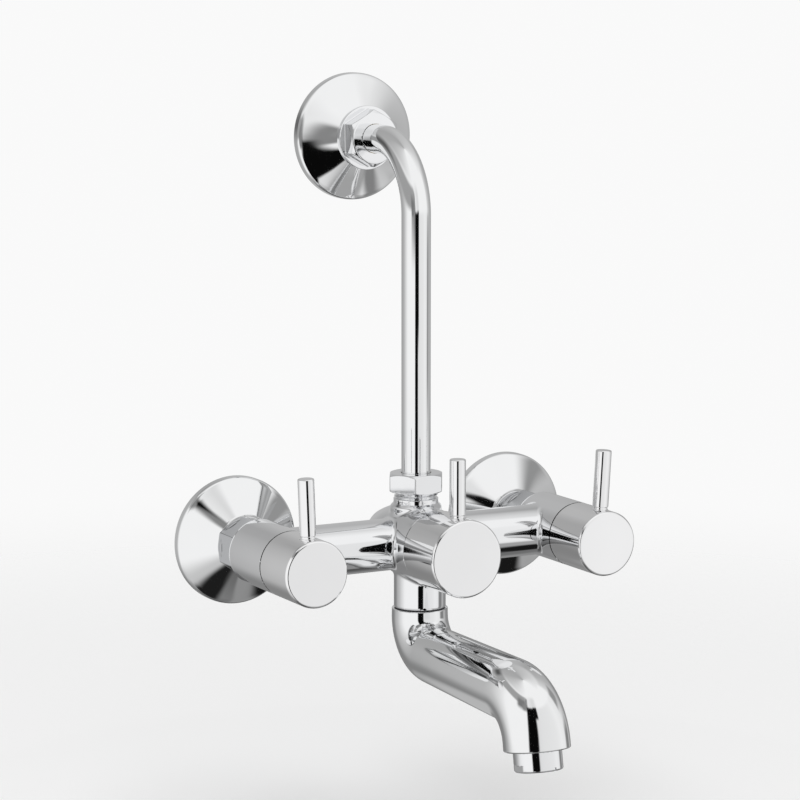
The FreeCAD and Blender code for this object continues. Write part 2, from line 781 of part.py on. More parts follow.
def build_disc(label, origin, rotation, start, radius):
    """A ceramic disc with two opposite windows."""
    body = new_body(label, origin, rotation)
    turn(body, "disc", rectangle(start, start + disc_length, 0, radius))
    window = rectangle(start, start + disc_length, disc_hole_inner, disc_hole_outer)
    for name, direction in (("left_window", 90), ("right_window", -90)):
        turn(body, name, window, rotation=about_x(direction), cut=True, angle=disc_hole_angle)


def build_valve(prefix, side, lean):
    """A quarter turn ceramic cartridge, hot or cold."""
    point = valve_point(side)
    turned = leaning(lean)
    seal_front = seat_depth + seat_seal_length
    disc_face = seal_front + disc_length
    moving_start = disc_face + disc_film
    foot_start = moving_start + disc_length
    foot_end = foot_start + foot_length

    build_washer(prefix + "_seat_seal", point, FORWARD, seat_depth, seat_seal_length, leg_bore, cage_radius)
    build_disc(prefix + "_fixed_disc", point, FORWARD, seal_front, disc_bore - running_gap)
    build_disc(prefix + "_moving_disc", point, turned, moving_start, disc_bore - sliding_gap)
    build_stem(prefix + "_spindle", point, turned, foot_start, foot_end)
    build_stem_parts(prefix, point, turned)

    body = new_body(prefix + "_cartridge_body", point, FORWARD)
    bore_end = foot_end + running_gap
    turn(body, "cage", rectangle(seal_front, bonnet_depth + 2 * face_gap, 0, cage_radius))
    build_bonnet(body, seal_front)
    drill(body, "disc_bore", seal_front, bore_end, disc_bore)
    window = rectangle(moving_start, foot_end, disc_bore - cut_margin, cage_radius + cut_margin)
    for name, direction in (("left_window", 90), ("right_window", -90)):
        turn(body, name, window, rotation=about_x(direction), cut=True, angle=window_angle)


def build_diverter():
    """The diverter: a turning sleeve that closes the riser port or the spout port."""
    point = (0, 0, 0)
    end_front = bonnet_depth + face_gap + rotor_end_length
    foot_end = end_front + diverter_foot_length
    build_stem("diverter_spindle", point, FORWARD, end_front, foot_end)
    build_stem_parts("diverter", point, FORWARD)

    body = new_body("diverter_cartridge_body", point, FORWARD)
    build_bonnet(body, bonnet_depth)
    drill(body, "foot_bore", bonnet_depth, foot_end + running_gap, rotor_end_radius + running_gap)

    rotor = new_body("diverter_rotor", point, FORWARD)
    outer = chamber_radius - running_gap
    inner = outer - rotor_wall
    start = seat_depth + 2 * running_gap
    sleeve_front = bonnet_depth
    outline = [
        (start, inner),
        (start, outer),
        (sleeve_front, outer),
        (sleeve_front, rotor_end_radius),
        (end_front, rotor_end_radius),
        (end_front, 0),
        (sleeve_front, 0),
        (sleeve_front, inner),
    ]
    turn(rotor, "sleeve", outline)
    zones = (("riser_window", riser_port_depth, 180), ("spout_window", spout_port_depth, 90))
    for name, depth, direction in zones:
        window = rectangle(depth - port_radius, depth + port_radius, inner - cut_margin, outer + cut_margin)
        turn(rotor, name, window, rotation=about_x(direction), cut=True, angle=rotor_opening)


def build_handle(prefix, side, lean, radius, face, reach):
    """A knob on its spindle, with a pin lever on top and a grub screw below."""
    point = valve_point(side)
    turned = leaning(lean)
    floor = circlip_front() + knob_floor_gap
    grub_depth = floor + grub_margin + grub_radius
    hollow = radius - knob_wall
    socket = spline_radius + running_gap
    socket_end = stem_end + face_gap
    outline = [
        (knob_back, hollow),
        (knob_back, radius),
        (face - knob_edge, radius),
        (face, radius - knob_edge, -quarter_bulge * knob_edge),
        (face, 0),
        (socket_end, 0),
        (socket_end, socket),
        (floor, socket),
        (floor, hollow),
    ]
    knob = new_body(prefix + "_knob", point, turned)
    turn(knob, "shell", outline)
    at_lever = (lever_depth, 0, 0)
    at_grub = (grub_depth, 0, 0)
    outside = radius + cut_margin
    drill(knob, "lever_hole", lever_root - press_gap, outside, lever_radius + press_gap, at_lever, TO_Y_AXIS)
    drill(knob, "grub_hole", socket, outside, grub_radius + press_gap, at_grub, TO_MINUS_Y_AXIS)

    lever = new_body(prefix + "_lever", point, turned)
    top = radius + reach
    waist = lever_radius - lever_undercut
    outline = [
        (lever_root, 0),
        (lever_root, lever_radius),
        (radius - press_gap, lever_radius),
        (radius - press_gap, waist),
        (radius + lever_undercut_length, waist),
        (radius + lever_undercut_length + lever_undercut, lever_radius),
        (top - lever_edge, lever_radius),
        (top, lever_radius - lever_edge, -quarter_bulge * lever_edge),
        (top, 0),
    ]
    turn(lever, "pin", outline, at_lever, TO_Y_AXIS)

    grub = new_body(prefix + "_grub_screw", point, turned)
    start = socket + running_gap
    turn(grub, "shank", rectangle(start, start + grub_length, 0, grub_radius), at_grub, TO_MINUS_Y_AXIS)
    key_start = (grub_depth, -(start + grub_length - hex_key_depth), 0)
    hexagon(grub, "key_socket", hex_key_across, key_start, hex_key_depth, TO_MINUS_Y_AXIS, cut=True)


def pipe_between(body, name, path, edges, top, mouth, cut=False):
    """Sweep a circle down the path while its radius grows from top to mouth."""
    start = new_sketch(body, name + "_top", (0, 0, -spout_top))
    draw_circle(start, (0, 0), top)
    tilt = about_x(spout_mouth_tilt.value)
    finish = new_sketch(body, name + "_mouth", (0, spout_reach, -mouth_drop), tilt)
    draw_circle(finish, (0, 0), mouth)
    kind = "PartDesign::SubtractivePipe" if cut else "PartDesign::AdditivePipe"
    sweep = body.newObject(kind, body.Name + "_" + name + "_sweep")
    sweep.Profile = start
    sweep.Spine = (path, edges)
    sweep.Transformation = "Multisection"
    sweep.Sections = [(finish, [""])]
    body.Tip = sweep
    doc.recompute()


def build_spout():
    """The spout: socket on the spigot, tight bend, level arm and a downward mouth."""
    point = (0, -neck_depth, 0)
    body = new_body("spout", point, TURNED_BACK)
    path = new_sketch(body, "path", rotation=SQUARE)
    first_bulge = spout_first_bend * (1 - cosine((90 - spout_slope) / 2))
    last_bulge = spout_last_bend * (1 - cosine((90 - spout_slope - spout_mouth_tilt) / 2))
    route = [
        (0, -spout_top),
        (0, -spout_bend_start),
        (reach_to_first, -drop_to_first, first_bulge),
        (reach_to_last, -drop_to_last),
        (reach_to_tail, -drop_to_tail, -last_bulge),
        (spout_reach, -mouth_drop),
    ]
    draw_outline(path, route, closed=False)
    edges = ["Edge" + str(number) for number in range(1, len(route))]
    pipe_between(body, "wall", path, edges, spout_top_radius, spout_mouth_radius)
    pipe_between(body, "waterway", path, edges, waterway_top, waterway_mouth, cut=True)
    drill(body, "socket", spout_top, spigot_foot + 2 * face_gap, socket_radius, rotation=DOWN)
    thread_back = -aerator_thread_length - aerator_washer_length
    thread = aerator_thread_radius + running_gap
    mouth = (0, spout_reach, -mouth_drop)
    out_of_mouth = about_x(spout_mouth_tilt.value).multiply(DOWN)
    drill(body, "aerator_thread", thread_back, cut_margin, thread, mouth, out_of_mouth)
    at_screw = (0, 0, -set_screw_height)
    hole = set_screw_radius + press_gap
    drill(body, "screw_hole", neck_bore, spout_top_radius + cut_margin, hole, at_screw, TO_MINUS_Y_AXIS)

    screw = new_body("spout_set_screw", point, TURNED_BACK)
    start = spigot_radius - screw_groove_depth + face_gap
    shank = rectangle(start, start + set_screw_length, 0, set_screw_radius)
    turn(screw, "shank", shank, at_screw, TO_MINUS_Y_AXIS)
    key_depth = set_screw_key_depth
    key_start = (0, -(start + set_screw_length - key_depth), -set_screw_height)
    hexagon(screw, "key_socket", set_screw_key_across, key_start, key_depth, TO_MINUS_Y_AXIS, cut=True)

    build_washer("spout_slip_ring", point, DOWN, neck_foot, slip_ring_length - running_gap,
                 spigot_radius + running_gap, neck_radius - face_gap)
    rings = new_body("spout_seal_rings", point, DOWN)
    rings.AllowCompound = True
    for name, height in (("upper", upper_seal_height), ("lower", lower_seal_height)):
        ring_of_circle(rings, name, height, spigot_radius - seal_section, seal_section)


def build_aerator():
    """The aerator: threaded ring with spanner flats, an insert with holes, and a washer."""
    point = (0, -neck_depth - spout_reach, -mouth_drop)
    out_of_mouth = about_x(-spout_mouth_tilt.value).multiply(DOWN)
    thread_top = -aerator_thread_length
    shoulder = face_gap
    lip_top = aerator_skirt - aerator_lip
    body = new_body("aerator_housing", point, out_of_mouth)
    outline = [
        (thread_top, aerator_bore),
        (thread_top, aerator_thread_radius),
        (shoulder, aerator_thread_radius),
        (shoulder, aerator_radius),
        (lip_top, aerator_radius),
        (aerator_skirt, aerator_radius - aerator_lip, -quarter_bulge * aerator_lip),
        (aerator_skirt, aerator_bore - aerator_lip),
        (lip_top, aerator_bore - aerator_lip),
        (lip_top, aerator_bore),
    ]
    turn(body, "ring", outline)
    for name, sign in (("left_flat", -1), ("right_flat", 1)):
        sketch = new_sketch(body, name, (aerator_skirt - aerator_flat_height, 0, 0), SQUARE)
        near = sign * aerator_across / 2
        far = sign * (aerator_radius + cut_margin)
        reach = aerator_radius
        draw_outline(sketch, [(near, -reach), (far, -reach), (far, reach), (near, reach)])
        extrude(body, name, sketch, aerator_flat_height, cut=True)
    notch = rectangle(aerator_skirt - aerator_notch_height, aerator_skirt + cut_margin,
                      aerator_bore - aerator_lip - cut_margin, aerator_radius + cut_margin)
    facing = about_x(aerator_notch_direction.value)
    turn(body, "notch", notch, rotation=facing, cut=True, angle=aerator_notch_angle)

    insert_foot = lip_top - running_gap
    insert = new_body("aerator_insert", point, out_of_mouth)
    start = insert_foot - insert_length
    turn(insert, "disc", rectangle(start, insert_foot, 0, aerator_bore - running_gap))
    rings = (
        ("inner", insert_inner_circle, INNER_HOLES),
        ("outer", insert_outer_circle, OUTER_HOLES),
    )
    for name, circle_radius, count in rings:
        holes = new_sketch(insert, name + "_hole", (start, 0, 0), SQUARE)
        draw_circle(holes, (circle_radius, 0), insert_hole_radius)
        extrude(insert, name + "_hole", holes, insert_length, cut=True)
        pattern = insert.newObject("PartDesign::PolarPattern", "aerator_" + name + "_pattern")
        pattern.Originals = [insert.Tip]
        pattern.Axis = (holes, ["N_Axis"])
        pattern.Angle = 360.0
        pattern.Occurrences = count
        insert.Tip = pattern
        doc.recompute()

    washer_start = thread_top - aerator_washer_length
    build_washer("aerator_washer", point, out_of_mouth, washer_start, aerator_washer_length,
                 aerator_bore, aerator_thread_radius - running_gap)


def build_all():
    build_mixer_body()
    sides = (("hot", -1, -hot_lean, lever_reach), ("cold", 1, cold_lean, cold_lever_reach))
    for prefix, side, lean, reach in sides:
        build_leg(prefix + "_leg", side)
        build_leg_nut(prefix + "_leg_nut", side)
        build_washer(prefix + "_leg_washer", valve_point(side), FORWARD, leg_collar_depth,
                     union_washer_length, leg_bore, leg_collar_radius)
        build_flange(prefix + "_wall_flange", (side * inlet_spacing / 2, -flange_stand_off, 0))
        build_valve(prefix, side, lean)
        build_handle(prefix, side, lean, housing_radius, knob_face, reach)
    build_flange("upper_wall_flange", (0, 0, riser_height))
    build_riser()
    build_diverter()
    build_handle("diverter", 0, 0, barrel_radius, diverter_knob_face, lever_reach)
    for prefix, point in (("hot", valve_point(-1)), ("cold", valve_point(1)), ("diverter", (0, 0, 0))):
        build_washer(prefix + "_bonnet_seal", point, FORWARD, housing_front, bonnet_seal_length,
                     bonnet_radius + running_gap, bonnet_flange_radius)
    build_spout()
    build_aerator()


def write_parts():
    """Check every object, then write one file for each piece."""
    doc.recompute()
    for thing in doc.Objects:
        if "Invalid" in thing.State or "Error" in thing.State:
            raise RuntimeError(thing.Name + " could not be made")
    bodies = [thing for thing in doc.Objects if thing.isDerivedFrom("PartDesign::Body")]
    for body in bodies:
        if body.Shape.isNull() or not body.Shape.isValid() or not body.Shape.Solids:
            raise RuntimeError(body.Label + " has no valid shape")
    os.makedirs("parts", exist_ok=True)
    for body in bodies:
        body.Shape.exportStep("parts/" + body.Label + ".step")
        print(body.Label, len(body.Shape.Solids), round(body.Shape.Volume, 1))


build_all()
write_parts()
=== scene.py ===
import math
from functools import reduce
from itertools import product

import bpy
import numpy as np
from mathutils import Matrix, Vector


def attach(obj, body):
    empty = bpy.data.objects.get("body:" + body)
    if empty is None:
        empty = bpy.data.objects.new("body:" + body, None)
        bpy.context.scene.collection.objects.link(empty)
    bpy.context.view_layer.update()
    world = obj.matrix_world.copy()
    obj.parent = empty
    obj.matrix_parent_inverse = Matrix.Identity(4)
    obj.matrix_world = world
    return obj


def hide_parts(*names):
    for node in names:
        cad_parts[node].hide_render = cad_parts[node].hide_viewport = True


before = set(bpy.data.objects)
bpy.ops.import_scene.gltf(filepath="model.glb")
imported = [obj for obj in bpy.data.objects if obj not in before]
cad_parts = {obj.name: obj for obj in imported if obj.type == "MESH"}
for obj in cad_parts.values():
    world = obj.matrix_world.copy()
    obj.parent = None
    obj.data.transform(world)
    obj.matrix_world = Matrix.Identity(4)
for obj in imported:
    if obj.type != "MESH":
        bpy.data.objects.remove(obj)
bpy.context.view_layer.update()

# The visual model of a wall mixer. Shapes are worked out in millimetres and written in metres.
# The viewer stands at -Y. A depth is a distance from the wall towards the viewer.
MM = 0.001


# Layout of the real object
VALVE_X = 77.75
INLET_X = 75.0
AXIS_DEPTH = 68.3
NECK_DEPTH = 72.3
RISER_Z = 191.8
FLANGE_STAND_OFF = 20.9
FLANGE_DEPTH = 15.0
HOUSING_RADIUS = 15.75
HOUSING_BACK = 55.1
HOUSING_FRONT = 89.5
TUBE_RADIUS = 12.5
BARREL_RADIUS = 18.57
NECK_RADIUS = 12.5
NECK_FOOT = -30.8
THREAD_RADIUS = 10.48
THREAD_LENGTH = 14.0
THREAD_PITCH = 1.814
PIPE_RADIUS = 7.05
PIPE_WALL = 1.0
PIPE_BEND = 34.3
HOT_LEAN = -2.1
COLD_LEAN = 3.5
CLEARANCE = 0.05

# Directions of the turned pieces: along the axis, and the two directions across it
FORWARD = ((0, -1, 0), (1, 0, 0), (0, 0, 1))
BACKWARD = ((0, 1, 0), (1, 0, 0), (0, 0, -1))
UP = ((0, 0, 1), (1, 0, 0), (0, 1, 0))
DOWN = ((0, 0, -1), (1, 0, 0), (0, -1, 0))


# --- nodes ---

NODE_STEP = 200


def add_node(tree, kind, inputs=None, **settings):
    """A node with its settings, right of the last one. An input takes a value, another node's output,
    or a node for its first output."""
    node = tree.nodes.new(kind)
    node.location = (NODE_STEP * len(tree.nodes), 0)
    for name, value in settings.items():
        setattr(node, name, value)
    for name, value in (inputs or {}).items():
        if isinstance(value, bpy.types.Node):
            value = value.outputs[0]
        if isinstance(value, bpy.types.NodeSocket):
            tree.links.new(value, node.inputs[name])
        else:
            node.inputs[name].default_value = value
    return node


def emptied_tree(owner):
    """The node tree of a material or a world, cleared."""
    owner.use_nodes = True
    owner.node_tree.nodes.clear()
    return owner.node_tree


def grey(level):
    return (level, level, level, 1)


def worked(tree, operation, *values):
    """The result of a maths node on outputs or plain numbers."""
    return add_node(tree, "ShaderNodeMath", dict(enumerate(values)), operation=operation).outputs[0]


def ramped(tree, value, low, high, start=0, finish=1):
    """Start where the value is low, finish where it is high, and a smooth change between."""
    inputs = {"Value": value, "From Min": low, "From Max": high, "To Min": start, "To Max": finish}
    return add_node(tree, "ShaderNodeMapRange", inputs, interpolation_type="SMOOTHSTEP").outputs["Result"]


def noise(tree, coordinates, scale, detail, roughness=0.5):
    inputs = {"Vector": coordinates, "Scale": scale, "Detail": detail, "Roughness": roughness}
    return add_node(tree, "ShaderNodeTexNoise", inputs).outputs["Fac"]


# --- materials ---

BUMP_DEPTH = 0.0001


def new_material(name, metallic):
    material = bpy.data.materials.new(name)
    tree = emptied_tree(material)
    shader = add_node(tree, "ShaderNodeBsdfPrincipled", {"Metallic": metallic})
    output = add_node(tree, "ShaderNodeOutputMaterial", {"Surface": shader.outputs["BSDF"]})
    coordinates = add_node(tree, "ShaderNodeTexCoord").outputs["Object"]
    return material, tree, shader, output, coordinates


def dress(tree, shader, tone, darker, blotches, rough, relief, strength):
    """Gives a shader a tone that darkens with the blotches, a roughness and a shallow relief."""
    shades = {"Factor": blotches, "A": (*tone, 1), "B": (*(darker * part for part in tone), 1)}
    colour = add_node(tree, "ShaderNodeMix", shades, data_type="RGBA")
    slopes = {"Distance": BUMP_DEPTH, "Strength": strength, "Height": relief}
    bump = add_node(tree, "ShaderNodeBump", slopes)
    tree.links.new(colour.outputs["Result"], shader.inputs["Base Color"])
    tree.links.new(rough, shader.inputs["Roughness"])
    tree.links.new(bump.outputs["Normal"], shader.inputs["Normal"])


def plated(name, tone, gloss, haziest, waviness):
    """Polished plating: even tone, faint wiping marks in the gloss and a hint of casting waves."""
    material, tree, shader, _, place = new_material(name, 1.0)
    haze = noise(tree, place, scale=55, detail=4)
    wiping = noise(tree, place, scale=420, detail=3, roughness=0.6)
    waves = noise(tree, place, scale=95, detail=1)
    rough = ramped(tree, worked(tree, "MULTIPLY", haze, wiping), 0.12, 0.42, gloss, haziest)
    dress(tree, shader, tone, 0.965, haze, rough, waves, waviness)
    return material


def unplated(name, metallic, tone, darker, gloss, dullest, blotch_look, grain_look, strength):
    """A finish with blotches in its tone and gloss, and a grain; a look is a scale and a detail."""
    material, tree, shader, _, place = new_material(name, metallic)
    blotches = noise(tree, place, *blotch_look)
    rough = ramped(tree, blotches, 0.3, 0.7, gloss, dullest)
    dress(tree, shader, tone, darker, blotches, rough, noise(tree, place, *grain_look), strength)
    return material


def machined(name, tone):
    """Turned metal that is not plated: fine tool marks and an uneven tarnish."""
    return unplated(name, 1.0, tone, 0.72, 0.22, 0.4, (160, 5), (2600, 2), 0.25)


def moulded(name, tone, gloss):
    """Plastic, rubber, fibre or ceramic with a fine grain."""
    return unplated(name, 0.0, tone, 0.8, gloss, gloss + 0.12, (120, 4), (1500, 3), 0.3)


# Make, name and tone; then plating has its least and most roughness and its waviness, and what is
# moulded its least roughness
FINISHES = (
    (plated, "body_chrome", (0.87, 0.875, 0.885), 0.035, 0.075, 0.16),
    (plated, "flange_chrome", (0.88, 0.885, 0.89), 0.03, 0.06, 0.1),
    (plated, "handle_chrome", (0.9, 0.9, 0.905), 0.04, 0.08, 0.08),
    (plated, "pipe_chrome", (0.88, 0.885, 0.89), 0.03, 0.065, 0.12),
    (plated, "nut_chrome", (0.86, 0.865, 0.875), 0.04, 0.09, 0.15),
    # Darker copy of nut chrome for the hot and cold inlet nuts: painted shade of the gap between flange and
    # housing
    (plated, "recessed_nut_chrome", (0.44, 0.445, 0.455), 0.05, 0.1, 0.15),
    (plated, "leg_chrome", (0.76, 0.765, 0.77), 0.12, 0.24, 0.3),
    (plated, "aerator_chrome", (0.87, 0.875, 0.885), 0.035, 0.07, 0.1),
    (moulded, "aerator_plastic", (0.72, 0.73, 0.74), 0.3),
    (machined, "cartridge_brass", (0.78, 0.6, 0.3)),
    (machined, "spindle_brass", (0.8, 0.63, 0.33)),
    (machined, "screw_steel", (0.58, 0.585, 0.6)),
    (moulded, "disc_ceramic", (0.9, 0.89, 0.86), 0.12),
    (moulded, "seal_rubber", (0.03, 0.03, 0.032), 0.55),
    (moulded, "washer_fibre", (0.5, 0.1, 0.07), 0.7),
    (moulded, "slip_plastic", (0.06, 0.06, 0.065), 0.45),
)
materials = {name: make(name, *look) for make, name, *look in FINISHES}


# --- meshes ---

def add_object(name, data):
    thing = bpy.data.objects.new(name, data)
    bpy.context.scene.collection.objects.link(thing)
    return thing


def add_mesh(name, points, faces, material):
    """A smooth mesh object made of points in metres."""
    mesh = bpy.data.meshes.new(name)
    mesh.from_pydata(points, [], faces)
    mesh.materials.append(material)
    mesh.shade_smooth()
    return add_object(name, mesh)


def finish_piece(piece, body, slot, *nodes):
    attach(piece, body)
    if nodes:
        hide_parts(*nodes)


def spin(angle):
    return np.array(((math.cos(angle), -math.sin(angle)), (math.sin(angle), math.cos(angle))))


def rounded(corners, closed=True, steps=7):
    """Points and outward normals of an outline whose corners (along, radius, rounding) are eased.

    The outside is on the left of the way along the outline. A rounding of 0 marks a point of a curve."""
    points, normals = [], []
    count = len(corners)
    for number, (along, radius, easing) in enumerate(corners):
        here = np.array((along, radius), float)
        before = np.array(corners[number - 1][:2], float)
        after = np.array(corners[(number + 1) % count][:2], float)
        if not closed and number == 0:
            before = 2 * here - after
        if not closed and number == count - 1:
            after = 2 * here - before
        come = (here - before) / np.linalg.norm(here - before)
        leave = (after - here) / np.linalg.norm(after - here)
        turn = math.atan2(come[0] * leave[1] - come[1] * leave[0], come @ leave)
        if easing == 0 or abs(turn) < 1e-4:
            middle = come + leave
            middle /= np.linalg.norm(middle)
            points.append(here)
            normals.append((-middle[1], middle[0]))
            continue
        first = here - come * (easing * math.tan(abs(turn) / 2))
        side = np.array((-come[1], come[0])) * math.copysign(1, turn)
        centre = first + side * easing
        for step in range(steps + 1):
            part_turn = spin(turn * step / steps)
            points.append(centre - part_turn @ side * easing)
            normals.append(part_turn @ np.array((-come[1], come[0])))
    return np.array(points), np.array(normals)


def arc_points(start, finish, bulge, count):
    """Curve points between two outline points; a positive bulge stands off to the left."""
    start, finish = np.array(start, float), np.array(finish, float)
    chord = finish - start
    length = np.linalg.norm(chord)
    left = np.array((-chord[1], chord[0])) / length
    radius = (length * length / 4 + bulge * bulge) / (2 * bulge)
    centre = (start + finish) / 2 + left * (bulge - radius)
    opening = 2 * math.asin(min(1, length / (2 * abs(radius)))) * math.copysign(1, bulge)
    places = [centre + spin(-opening * number / count) @ (start - centre) for number in range(1, count)]
    return [(float(along), float(radius), 0) for along, radius in places]


def along_wall(start, finish, radii, step):
    """Close points on a straight wall from start to finish, whose radius changes evenly."""
    count = max(2, int(abs(finish - start) / step))
    share = np.linspace(0, 1, count + 1)[1:-1]
    return [(start + (finish - start) * part, radii[0] + (radii[1] - radii[0]) * part, 0) for part in share]


def turned(directions, lean):
    """Directions turned about the Y axis, so that a lever leans to the right by lean degrees."""
    turn = Matrix.Rotation(math.radians(lean), 3, "Y")
    return tuple(tuple(turn @ Vector(direction)) for direction in directions)


def rolled(directions, degrees):
    """Directions turned about their own axis."""
    axis, across, upward = np.array(directions, float)
    cosine, sine = math.cos(math.radians(degrees)), math.sin(math.radians(degrees))
    return axis, across * cosine + upward * sine, upward * cosine - across * sine


def ring_faces(rings, columns, closed):
    faces = []
    for ring in range(rings if closed else rings - 1):
        here, there = ring * columns, ((ring + 1) % rings) * columns
        for column in range(columns):
            following = (column + 1) % columns
            faces.append((here + column, here + following, there + following, there + column))
    return faces


def lathe(name, corners, origin, directions, slot, closed=True, columns=160):
    """A turned piece: an outline of (along, radius, rounding) corners spun about its axis.

    An outline that isn't closed starts and ends on the axis."""
    outline, slopes = rounded(corners, closed)
    axis, across, upward = np.array(directions, float)
    angles = np.linspace(0, 2 * math.pi, columns, endpoint=False)
    radial = np.outer(np.cos(angles), across) + np.outer(np.sin(angles), upward)
    rows = range(len(outline)) if closed else range(1, len(outline) - 1)
    points = [outline[number][0] * axis + outline[number][1] * radial for number in rows]
    normals = [slopes[number][0] * axis + slopes[number][1] * radial for number in rows]
    faces = ring_faces(len(rows), columns, closed)
    for end in range(0 if closed else 2):
        points.append(outline[-end][0] * axis[None])
        normals.append(np.sign(slopes[-end][0]) * axis[None])
        base = end * (len(rows) - 1) * columns
        for column in range(columns):
            edge = (base + (column + 1) % columns, base + column)
            faces.append((*(edge[::-1] if end else edge), len(rows) * columns + end))
    points = np.vstack(points) + np.array(origin, float)
    piece = add_mesh(name, (points * MM).tolist(), faces, materials[slot])
    piece.data.validate()
    piece.data.normals_split_custom_set_from_vertices(np.vstack(normals).tolist())
    return piece


# --- solids told by their distance ---

HALVINGS = 9
STEADYING = 0.02


def seen_from(points, origin, directions):
    """Distances of the points along an axis and in the two directions across it, and from it."""
    moved = points - np.array(origin, float)
    along, across, upward = [moved @ direction for direction in np.array(directions, float)]
    return along, across, upward, np.hypot(across, upward)


def bar(along, out, start, finish, radius, edge=0.0):
    """Distance from a round bar whose rims are eased by edge."""
    side = out - radius + edge
    ends = np.maximum(start - along, along - finish) + edge
    beyond = np.hypot(np.maximum(side, 0), np.maximum(ends, 0))
    return beyond + np.minimum(np.maximum(side, ends), 0) - edge


def all_of(*solids):
    """Every solid, with sharp edges where they meet."""
    return reduce(np.minimum, solids)


def joined(first, second, fillet):
    """Both solids, with a fillet where they meet."""
    share = np.maximum(fillet - np.abs(first - second), 0) / fillet
    return np.minimum(first, second) - share * share * fillet / 4


def common(first, second, easing):
    """What two solids share, with the edge between them eased."""
    return -joined(-first, -second, easing)


def without(solid, tool, easing=0.15):
    return common(solid, -tool, easing)


def hexagon_distance(across, upward, width, easing=0.5):
    """Distance from an endless hexagonal bar that has one corner straight up."""
    flats = [np.abs(across * math.cos(angle) + upward * math.sin(angle)) - width / 2
             for angle in (0, math.pi / 3, 2 * math.pi / 3)]
    return common(common(flats[0], flats[1], easing), flats[2], easing)


def slopes_of(solid, points, step=0.004):
    slopes = np.empty_like(points)
    for axis in range(3):
        shift = np.zeros(3)
        shift[axis] = step
        slopes[:, axis] = solid(points + shift) - solid(points - shift)
    return slopes / np.maximum(np.linalg.norm(slopes, axis=1), 1e-12)[:, None]


def crossings(solid, low, high, cell):
    """Where a solid's surface crosses the edges of a grid, and the four cells round each such edge."""
    axes = [np.arange(start - 2 * cell, finish + 3 * cell, cell) for start, finish in zip(low, high)]
    shape = [len(axis) for axis in axes]
    field = np.empty(shape)
    for number, place in enumerate(axes[0]):
        sheet = np.stack(np.meshgrid([place], axes[1], axes[2], indexing="ij"), -1)
        field[number] = solid(sheet.reshape(-1, 3)).reshape(shape[1:])
    strides = np.array((shape[1] * shape[2], shape[2], 1))
    base = np.array([axis[0] for axis in axes])
    places, cells, outward = [], [], []
    for axis in range(3):
        first = field[tuple(slice(None, -1) if other == axis else slice(None) for other in range(3))]
        second = field[tuple(slice(1, None) if other == axis else slice(None) for other in range(3))]
        index = np.argwhere((first < 0) != (second < 0))
        starts_inside = first[tuple(index.T)] < 0
        near = base + index * cell
        far = near.copy()
        far[:, axis] += cell
        for _ in range(HALVINGS):
            middle = (near + far) / 2
            same = (solid(middle) < 0) == starts_inside
            near[same] = middle[same]
            far[~same] = middle[~same]
        places.append((near + far) / 2)
        right, left = np.eye(3, dtype=int)[(axis + 1) % 3], np.eye(3, dtype=int)[(axis + 2) % 3]
        corners = [index - right - left, index - left, index, index - right]
        cells.append(np.stack([corner @ strides for corner in corners], 1))
        outward.append(starts_inside)
    return np.vstack(places), np.vstack(cells), np.concatenate(outward)


def skin(solid, low, high, cell):
    """The surface where a solid's distance is zero, with its sharp edges kept."""
    places, cells, outward = crossings(solid, low, high, cell)
    slopes = slopes_of(solid, places)
    numbers, corners = np.unique(cells, return_inverse=True)
    corners = corners.reshape(cells.shape)
    flat = corners.ravel()
    places = np.repeat(places, 4, axis=0)
    slopes = np.repeat(slopes, 4, axis=0)
    count = np.bincount(flat)
    middles = np.stack([np.bincount(flat, places[:, axis]) / count for axis in range(3)], -1)
    offsets = np.sum(slopes * (places - middles[flat]), 1)
    pulls = np.stack([np.bincount(flat, slopes[:, axis] * offsets) for axis in range(3)], -1)
    spread = np.zeros((len(numbers), 3, 3))
    for row, column in product(range(3), repeat=2):
        spread[:, row, column] = np.bincount(flat, slopes[:, row] * slopes[:, column])
    spread += STEADYING * np.eye(3)
    shifts = np.linalg.solve(spread, pulls[..., None])[..., 0]
    reach = np.linalg.norm(shifts, axis=1)
    shifts *= np.minimum(1, cell / np.maximum(reach, 1e-9))[:, None]
    return middles + shifts, np.where(outward[:, None], corners, corners[:, ::-1])


def skinned_piece(name, solid, low, high, cell, body, slot, *nodes, finish=None):
    """A piece whose shading follows the solid itself, and breaks only at its sharp edges."""
    sharp_cosine = 0.8
    points, faces = skin(solid, low, high, cell)
    spans = points[faces]
    face_slopes = np.cross(spans[:, 2] - spans[:, 0], spans[:, 3] - spans[:, 1])
    face_slopes /= np.maximum(np.linalg.norm(face_slopes, axis=1), 1e-12)[:, None]
    corner_slopes = slopes_of(solid, points)[faces]
    sharp = np.sum(corner_slopes * face_slopes[:, None], -1) < sharp_cosine
    middle_slopes = slopes_of(solid, spans.mean(1))
    unlike = np.sum(middle_slopes * face_slopes, 1) < sharp_cosine
    middle_slopes[unlike] = face_slopes[unlike]
    corner_slopes[sharp] = np.repeat(middle_slopes[:, None], 4, 1)[sharp]
    piece = add_mesh(name, (points * MM).tolist(), faces.tolist(), materials[finish or slot])
    piece.data.normals_split_custom_set(corner_slopes.reshape(-1, 3).tolist())
    finish_piece(piece, body, slot, *nodes)


# --- the casting ---

FILLET = 1.6
CHAMBER_RADIUS = 10.2
CHAMBER_MOUTH = 11.2
SEAT_DEPTH = 62.5
BONNET_DEPTH = 76.9
WATER_BORE = 6.0
CROSS_BORE = 6.5
PORT_BORE = 2.8
BARREL_BACK = 36.5
DOME_RADIUS = 103.38
DOME_CENTRE = (78.06, -83.85)
BOSS_RADIUS = 12.4
BOSS_RIM = 10.8
BOSS_TOP = 21.7
BOSS_END = 31


